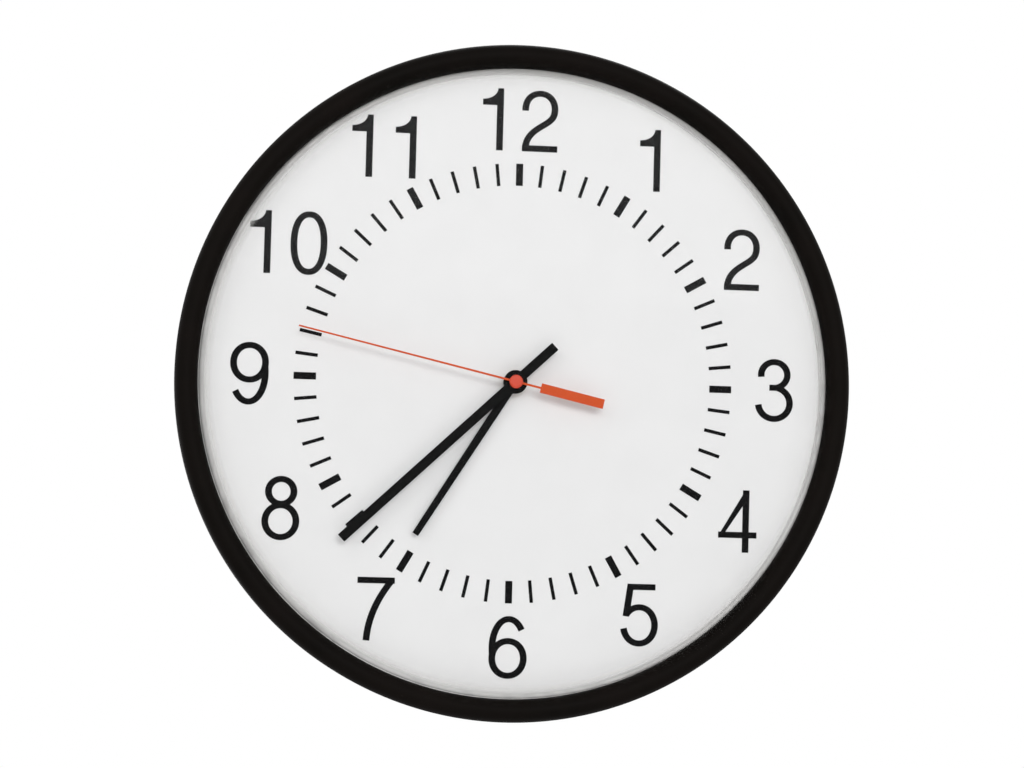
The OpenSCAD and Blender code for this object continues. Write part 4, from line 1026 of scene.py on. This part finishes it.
for edge in ribbon.data.edges:
    one, other = [ribbon.data.vertices[index].co for index in edge.vertices]
    edge.select = abs(one.x - other.x) > wire_r and low.z + BEND_L < one.z < high.z - BEND_L
bpy.ops.object.mode_set(mode="EDIT")
bpy.ops.mesh.bevel(offset=BEND_L, segments=BEND_STEPS)
bpy.ops.object.mode_set(mode="OBJECT")
rounding = []
for step in range(WIRES * WIRE_STEPS + 1):
    wire, part = divmod(step, WIRE_STEPS)
    across = math.sin(math.pi * (part / WIRE_STEPS - 0.5))
    depth = lead_t / 2 * VALLEY_SHARE * (1 - math.sqrt(1 - across**2))
    rounding.append((low.x + (2 * wire + 1 + across) * wire_r, depth))
for x, depth in rounding[1:-1]:
    bpy.ops.object.mode_set(mode="EDIT")
    bpy.ops.mesh.select_all(action="SELECT")
    bpy.ops.mesh.bisect(plane_co=(x, 0, 0), plane_no=(1, 0, 0), threshold=SAME_POINT)
    bpy.ops.object.mode_set(mode="OBJECT")
for x, depth in rounding:
    for side in (-1, 1):
        pick(ribbon, lambda corner: abs(corner.co.x - x) < SAME_POINT and corner.normal.y * side > 0)
        bpy.ops.transform.translate(value=(0, -side * depth, 0))
        bpy.ops.object.mode_set(mode="OBJECT")
bpy.ops.object.shade_smooth_by_angle(angle=RIBBON_EDGE_ANGLE)
fit(ribbon, ribbon_grey, "case", "lead_grey", "motor_lead")


# Dial
# An aluminium disc with a matt white coat, clamped by the nut of the movement's bushing.
# The numbers and the 60 ticks are screen printed on it in black ink.
dial_white = surface(
    "dial_white", (236, 236, 236), (241, 241, 241), spot=0.0004, rough=(0.5, 0.6), relief=0.000006, shine=0.3
)
dial_ink = surface(
    "dial_ink", (5, 5, 6), (12, 12, 13),
    spot=0.0006, rough=(0.5, 0.65), relief=0.000008, shine=0.06, cloud=0.05,
)
paint(dial_white, "dial_plate")
paint(dial_ink, "dial_numbers", "dial_ticks")


# Mounting bushing
# A brass tube, threaded above the dial, with a foot inside the movement. A fibre washer and
# a hexagon nut clamp the dial on it.
BUSHING_R = 0.0036
BUSHING_BORE_R = 0.00256
BUSHING_THREAD_PITCH = 0.0005
BUSHING_THREAD_DEPTH = 0.0003
BUSHING_FOOT_T = 0.0008
BUSHING_STEPS = 48
WASHER_EDGE = 0.0001
NUT_EDGE = 0.0003
brass = surface(
    "brass", (178, 140, 74), (206, 170, 100),
    spot=0.0002, rough=(0.25, 0.4), relief=0.000003, metal=1, cloud=0.004,
)
fibre_black = surface(
    "fibre_black", (20, 20, 20), (32, 31, 30), spot=0.0002, rough=(0.6, 0.75), relief=0.00001, cloud=0.003
)
low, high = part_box("mounting_bushing")
foot, top = -high.y, -low.y
foot_r = (high.x - low.x) / 2
thread = []
for index in range(int((top - DIAL_LEVEL) / BUSHING_THREAD_PITCH)):
    start = DIAL_LEVEL + index * BUSHING_THREAD_PITCH
    thread += [(BUSHING_R, start), (BUSHING_R - BUSHING_THREAD_DEPTH, start + BUSHING_THREAD_PITCH / 2)]
bushing = turned(
    "bushing",
    [(BUSHING_BORE_R, foot), (foot_r, foot)]
    + [(foot_r, foot + BUSHING_FOOT_T), (BUSHING_R, foot + BUSHING_FOOT_T)]
    + thread
    + [(BUSHING_R - BUSHING_THREAD_DEPTH, top), (BUSHING_BORE_R, top), (BUSHING_BORE_R, foot)],
    BUSHING_STEPS,
)
fit(bushing, brass, "case", "brass", "mounting_bushing")
fit(eased("washer", "mounting_washer", WASHER_EDGE), fibre_black, "case", "rubber", "mounting_washer")
fit(eased("hexagon_nut", "mounting_nut", NUT_EDGE), brass, "case", "brass", "mounting_nut")


# Hour and minute hands
# Stamped from thin aluminium, with the edges broken by the stamping, and painted flat black.
# A brass collet holds each one on its tube.
HAND_EDGE = 0.00015
hand_black = surface(
    "hand_black", (3, 3, 3), (7, 7, 7),
    spot=0.0003, rough=(0.45, 0.6), relief=0.000006, shine=0.06, cloud=0.02,
)
for hand in ("hour", "minute"):
    node = f"{hand}_hand"
    fit(eased(f"{hand}_blade", node, HAND_EDGE), hand_black, f"{node}_assembly", "hand_black", node)
paint(brass, "hour_hand_collet", "minute_hand_collet")


# Seconds hand
# A thin orange needle with a broad tail that balances it, stamped and painted like the others.
# A red cap covers the middle, and its tube presses on the arbor.
NEEDLE_EDGE = 0.0001
CAP_EDGE = 0.0006
CAP_DOME = 0.00015
CAP_DOME_STEPS = 5
CAP_TUBE_R = 0.00135
CAP_BORE_R = 0.00077
CAP_STEPS = 40
hand_orange = surface(
    "hand_orange", (203, 74, 25), (214, 84, 33),
    spot=0.0003, rough=(0.45, 0.6), relief=0.000005, shine=0.2, cloud=0.02,
)
cap_red = surface(
    "cap_red", (204, 66, 42), (216, 76, 50),
    spot=0.0003, rough=(0.35, 0.5), relief=0.000004, shine=0.3, cloud=0.004,
)
fit(
    eased("second_needle", "second_hand", NEEDLE_EDGE),
    hand_orange, "second_hand_assembly", "hand_orange", "second_hand",
)
needle_front = -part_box("second_hand")[0].y
low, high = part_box("second_hand_cap")
cap_r = (high.x - low.x) / 2
shoulder = -low.y - CAP_DOME
cap = turned(
    "cap",
    [(0, needle_front), (CAP_BORE_R, needle_front), (CAP_BORE_R, -high.y), (CAP_TUBE_R, -high.y)]
    + [(CAP_TUBE_R, needle_front), (cap_r, needle_front)]
    + arc((cap_r - CAP_EDGE, shoulder - CAP_EDGE), CAP_EDGE, CAP_EDGE, 0, 80, CORNER_STEPS)
    + arc((0, shoulder), cap_r - CAP_EDGE, CAP_DOME, 20, 90, CAP_DOME_STEPS),
    CAP_STEPS,
)
fit(cap, cap_red, "second_hand_assembly", "cap_red", "second_hand_cap")


# Lens
# One clear polycarbonate moulding, 2 mm thick: a flat rim that the ring holds down, a short wall,
# a rounded shoulder and a shallow dome. Light gathers in the shoulder, which looks pale grey; that pale
# band is painted light, a diffuse white mixed into the clear pane over the shoulder.
LENS_R = 0.1524
LENS_RIM_R = 0.155
LENS_RIM_LEVEL = 0.033
LENS_T = 0.002
LENS_SHOULDER_R = 0.0052
LENS_SHOULDER_LEVEL = 0.0374
LENS_SHOULDER_SWEEP = 86
LENS_SHOULDER_STEPS = 16
LENS_HOLLOW_STEPS = 12
LENS_CROWN_LEVEL = 0.05
LENS_DOME_STEPS = 24
LENS_STEPS = 192
LENS_TINT = (0.995, 0.995, 0.995, 1)
MIRROR_TINT = (0.6, 0.6, 0.6, 1)
# The flatter the dome is seen, the more it mirrors: over the first range, by the second's shares.
GLANCING = (0.3, 1)
GLOSS = (0.002, 0.6)
GLOSS_BLUR = (0.04, 0.12)
RIPPLES_PER_METRE = 18
# Painted light on the shoulder: the radius where it starts, and its largest share of the pane
SHOULDER_LIGHT_START_R = 0.1455
SHOULDER_LIGHT_MOST = 0.6
GLOW_FROM_BEHIND = 0.5
shoulder_at = (LENS_R - LENS_SHOULDER_R, LENS_SHOULDER_LEVEL)
dome_edge_level = LENS_SHOULDER_LEVEL + LENS_SHOULDER_R
dome_rise = LENS_CROWN_LEVEL - dome_edge_level
dome_r = (shoulder_at[0] ** 2 + dome_rise**2) / (2 * dome_rise)
dome_at = (0, LENS_CROWN_LEVEL - dome_r)
dome_edge = math.degrees(math.acos(shoulder_at[0] / dome_r))
outer_r, inner_r = LENS_SHOULDER_R, LENS_SHOULDER_R - LENS_T
lens = turned(
    "clear_lens",
    [(LENS_R - LENS_T, DIAL_LEVEL), (LENS_RIM_R, DIAL_LEVEL), (LENS_RIM_R, LENS_RIM_LEVEL)]
    + [(LENS_R, LENS_RIM_LEVEL)]
    + arc(shoulder_at, outer_r, outer_r, 0, LENS_SHOULDER_SWEEP, LENS_SHOULDER_STEPS)
    + arc(dome_at, dome_r, dome_r, dome_edge, 90, LENS_DOME_STEPS)
    + arc(dome_at, dome_r - LENS_T, dome_r - LENS_T, 90, dome_edge, LENS_DOME_STEPS)
    + arc(shoulder_at, inner_r, inner_r, LENS_SHOULDER_SWEEP, 0, LENS_HOLLOW_STEPS)
    + [(LENS_R - LENS_T, DIAL_LEVEL)],
    LENS_STEPS,
)
lens_clear = bpy.data.materials.new("polycarbonate_clear")
lens_clear.use_nodes = True
tree = lens_clear.node_tree
tree.nodes.remove(tree.nodes["Principled BSDF"])
pane = add(tree, "ShaderNodeBsdfTransparent", {"Color": LENS_TINT}).outputs[0]
lit_front, lit_back = [
    add(tree, kind, {"Color": srgb(232, 231, 229)}).outputs[0]
    for kind in ("ShaderNodeBsdfDiffuse", "ShaderNodeBsdfTranslucent")
]
glow = mix_shaders(tree, GLOW_FROM_BEHIND, lit_front, lit_back)
way_out = add(tree, "ShaderNodeVectorMath", {0: flat_place(tree)}, operation="LENGTH")
# Painted light: over the shoulder the clear pane goes over into a lit diffuse white, by radius
shoulder_light_share = ranged(
    tree, way_out.outputs["Value"], (SHOULDER_LIGHT_START_R, LENS_R), (0, SHOULDER_LIGHT_MOST), interpolation_type="SMOOTHSTEP"
)
shoulder_lit = mix_shaders(tree, shoulder_light_share, pane, glow)
ripple = add(tree, "ShaderNodeTexNoise", {"Vector": object_place(tree), "Scale": RIPPLES_PER_METRE})
blur = ranged(tree, ripple.outputs["Fac"], given=GLOSS_BLUR)
mirror = add(tree, "ShaderNodeBsdfGlossy", {"Color": MIRROR_TINT, "Roughness": blur}).outputs[0]
facing = add(tree, "ShaderNodeLayerWeight").outputs["Facing"]
gloss = ranged(tree, facing, GLANCING, GLOSS, interpolation_type="SMOOTHSTEP")
faced = mix_shaders(tree, gloss, shoulder_lit, mirror)
past = add(tree, "ShaderNodeBsdfTransparent", {"Color": WHITE}).outputs[0]
ray = add(tree, "ShaderNodeLightPath").outputs
feed(tree.nodes["Material Output"], {"Surface": mix_shaders(tree, ray["Is Shadow Ray"], faced, past)})
fit(lens, lens_clear, "case", "lens", "lens")


# Front ring
# One black ABS moulding: a rounded crown, a deep skirt over the case and a thin lip over the lens.
# Six screws from behind hold it by the bosses in its hollow. Its face has a fine spark-eroded grain.
RING_R = 0.164
RING_WALL_R = 0.1606
RING_LIP_R = 0.1529
RING_LIP_BACK_R = 0.1552
RING_SKIRT_LEVEL = 0.022
RING_SIDE_LEVEL = 0.037
RING_LIP_LEVEL = 0.033
RING_CROWN_H = 0.0075
RING_CROWN_POWER = 2.2
RING_CROWN_STEPS = 40
RING_HOLLOW_H = 0.0052
RING_HOLLOW_STEPS = 12
RING_EDGE = 0.0004
RING_STEPS = 256
BOSS_R = 0.0028
BOSS_HOLE_R = 0.00152
BOSS_H = 0.008
BOSS_HOLE_H = 0.0065
BOSS_STEPS = 24
RING_SCREW_SHANK_R = 0.0015
RING_SCREW_HEAD_R = 0.0024
RING_SCREW_HEAD_T = 0.002
RING_SCREW_FIRST = 30
RING_SCREWS = 6
ring_middle = ((RING_R + RING_LIP_R) / 2, RING_SIDE_LEVEL)
hollow_middle = ((RING_WALL_R + RING_LIP_BACK_R) / 2, RING_SIDE_LEVEL)
crown = arc(ring_middle, (RING_R - RING_LIP_R) / 2, RING_CROWN_H, 0, 180, RING_CROWN_STEPS, RING_CROWN_POWER)
hollow = arc(hollow_middle, (RING_WALL_R - RING_LIP_BACK_R) / 2, RING_HOLLOW_H, 180, 0, RING_HOLLOW_STEPS)
moulding = turned(
    "ring_shell",
    [(RING_WALL_R, RING_SKIRT_LEVEL), (RING_R - RING_EDGE, RING_SKIRT_LEVEL)]
    + [(RING_R, RING_SKIRT_LEVEL + RING_EDGE)]
    + crown
    + [(RING_LIP_R, RING_LIP_LEVEL + RING_EDGE), (RING_LIP_R + RING_EDGE, RING_LIP_LEVEL)]
    + [(RING_LIP_BACK_R, RING_LIP_LEVEL)]
    + hollow
    + [(RING_WALL_R, RING_SKIRT_LEVEL)],
    RING_STEPS,
)
low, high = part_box("bezel_screws")
boss_ring_r = high.z - RING_SCREW_HEAD_R
boss_places = []
for index in range(RING_SCREWS):
    angle = math.radians(RING_SCREW_FIRST + index * 360 / RING_SCREWS)
    boss_places.append((boss_ring_r * math.cos(angle), boss_ring_r * math.sin(angle)))
hole_end = RING_LIP_LEVEL + BOSS_HOLE_H
boss_end = RING_LIP_LEVEL + BOSS_H
bosses = []
for index, spot in enumerate(boss_places):
    bosses.append(turned(
        f"boss_{index + 1}",
        [(0, hole_end), (BOSS_HOLE_R, hole_end), (BOSS_HOLE_R, RING_LIP_LEVEL), (BOSS_R, RING_LIP_LEVEL)]
        + [(BOSS_R, boss_end), (0, boss_end)],
        BOSS_STEPS, spot,
    ))
ring_black = surface(
    "ring_black", (13, 11, 9), (21, 17, 15), spot=0.0005, rough=(0.5, 0.62), relief=0.00002, shine=0.03
)
fit(joined([moulding] + bosses, "front_ring"), ring_black, "case", "front_bezel", "front_bezel")
seat = -high.y + RING_SCREW_HEAD_T
ring_screw = pan_screw(
    "ring_screw", RING_SCREW_SHANK_R, -low.y - seat, RING_SCREW_HEAD_R, RING_SCREW_HEAD_T
)
drive_in(ring_screw, "bezel_screws", boss_places, seat)


# Hanger plate and screws
# Zinc-plated pressed steel with a keyhole, which hangs on a screw in the wall.
# Two wafer heads hold it on bosses of the back panel.
HANGER_EDGE = 0.0003
HANGER_SHANK_R = 0.0015
HANGER_HEAD_R = 0.0028
HANGER_HEAD_T = 0.00055
fit(eased("hanger_steel", "hanger_plate", HANGER_EDGE, 3), zinc, "case", "steel", "hanger_plate")
low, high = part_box("hanger_screws")
seat = -high.y + HANGER_HEAD_T
hanger_screw = pan_screw("hanger_screw", HANGER_SHANK_R, -low.y - seat, HANGER_HEAD_R, HANGER_HEAD_T)
hanger_places = [(x, (low.z + high.z) / 2) for x in (low.x + HANGER_HEAD_R, high.x - HANGER_HEAD_R)]
drive_in(hanger_screw, "hanger_screws", hanger_places, seat)
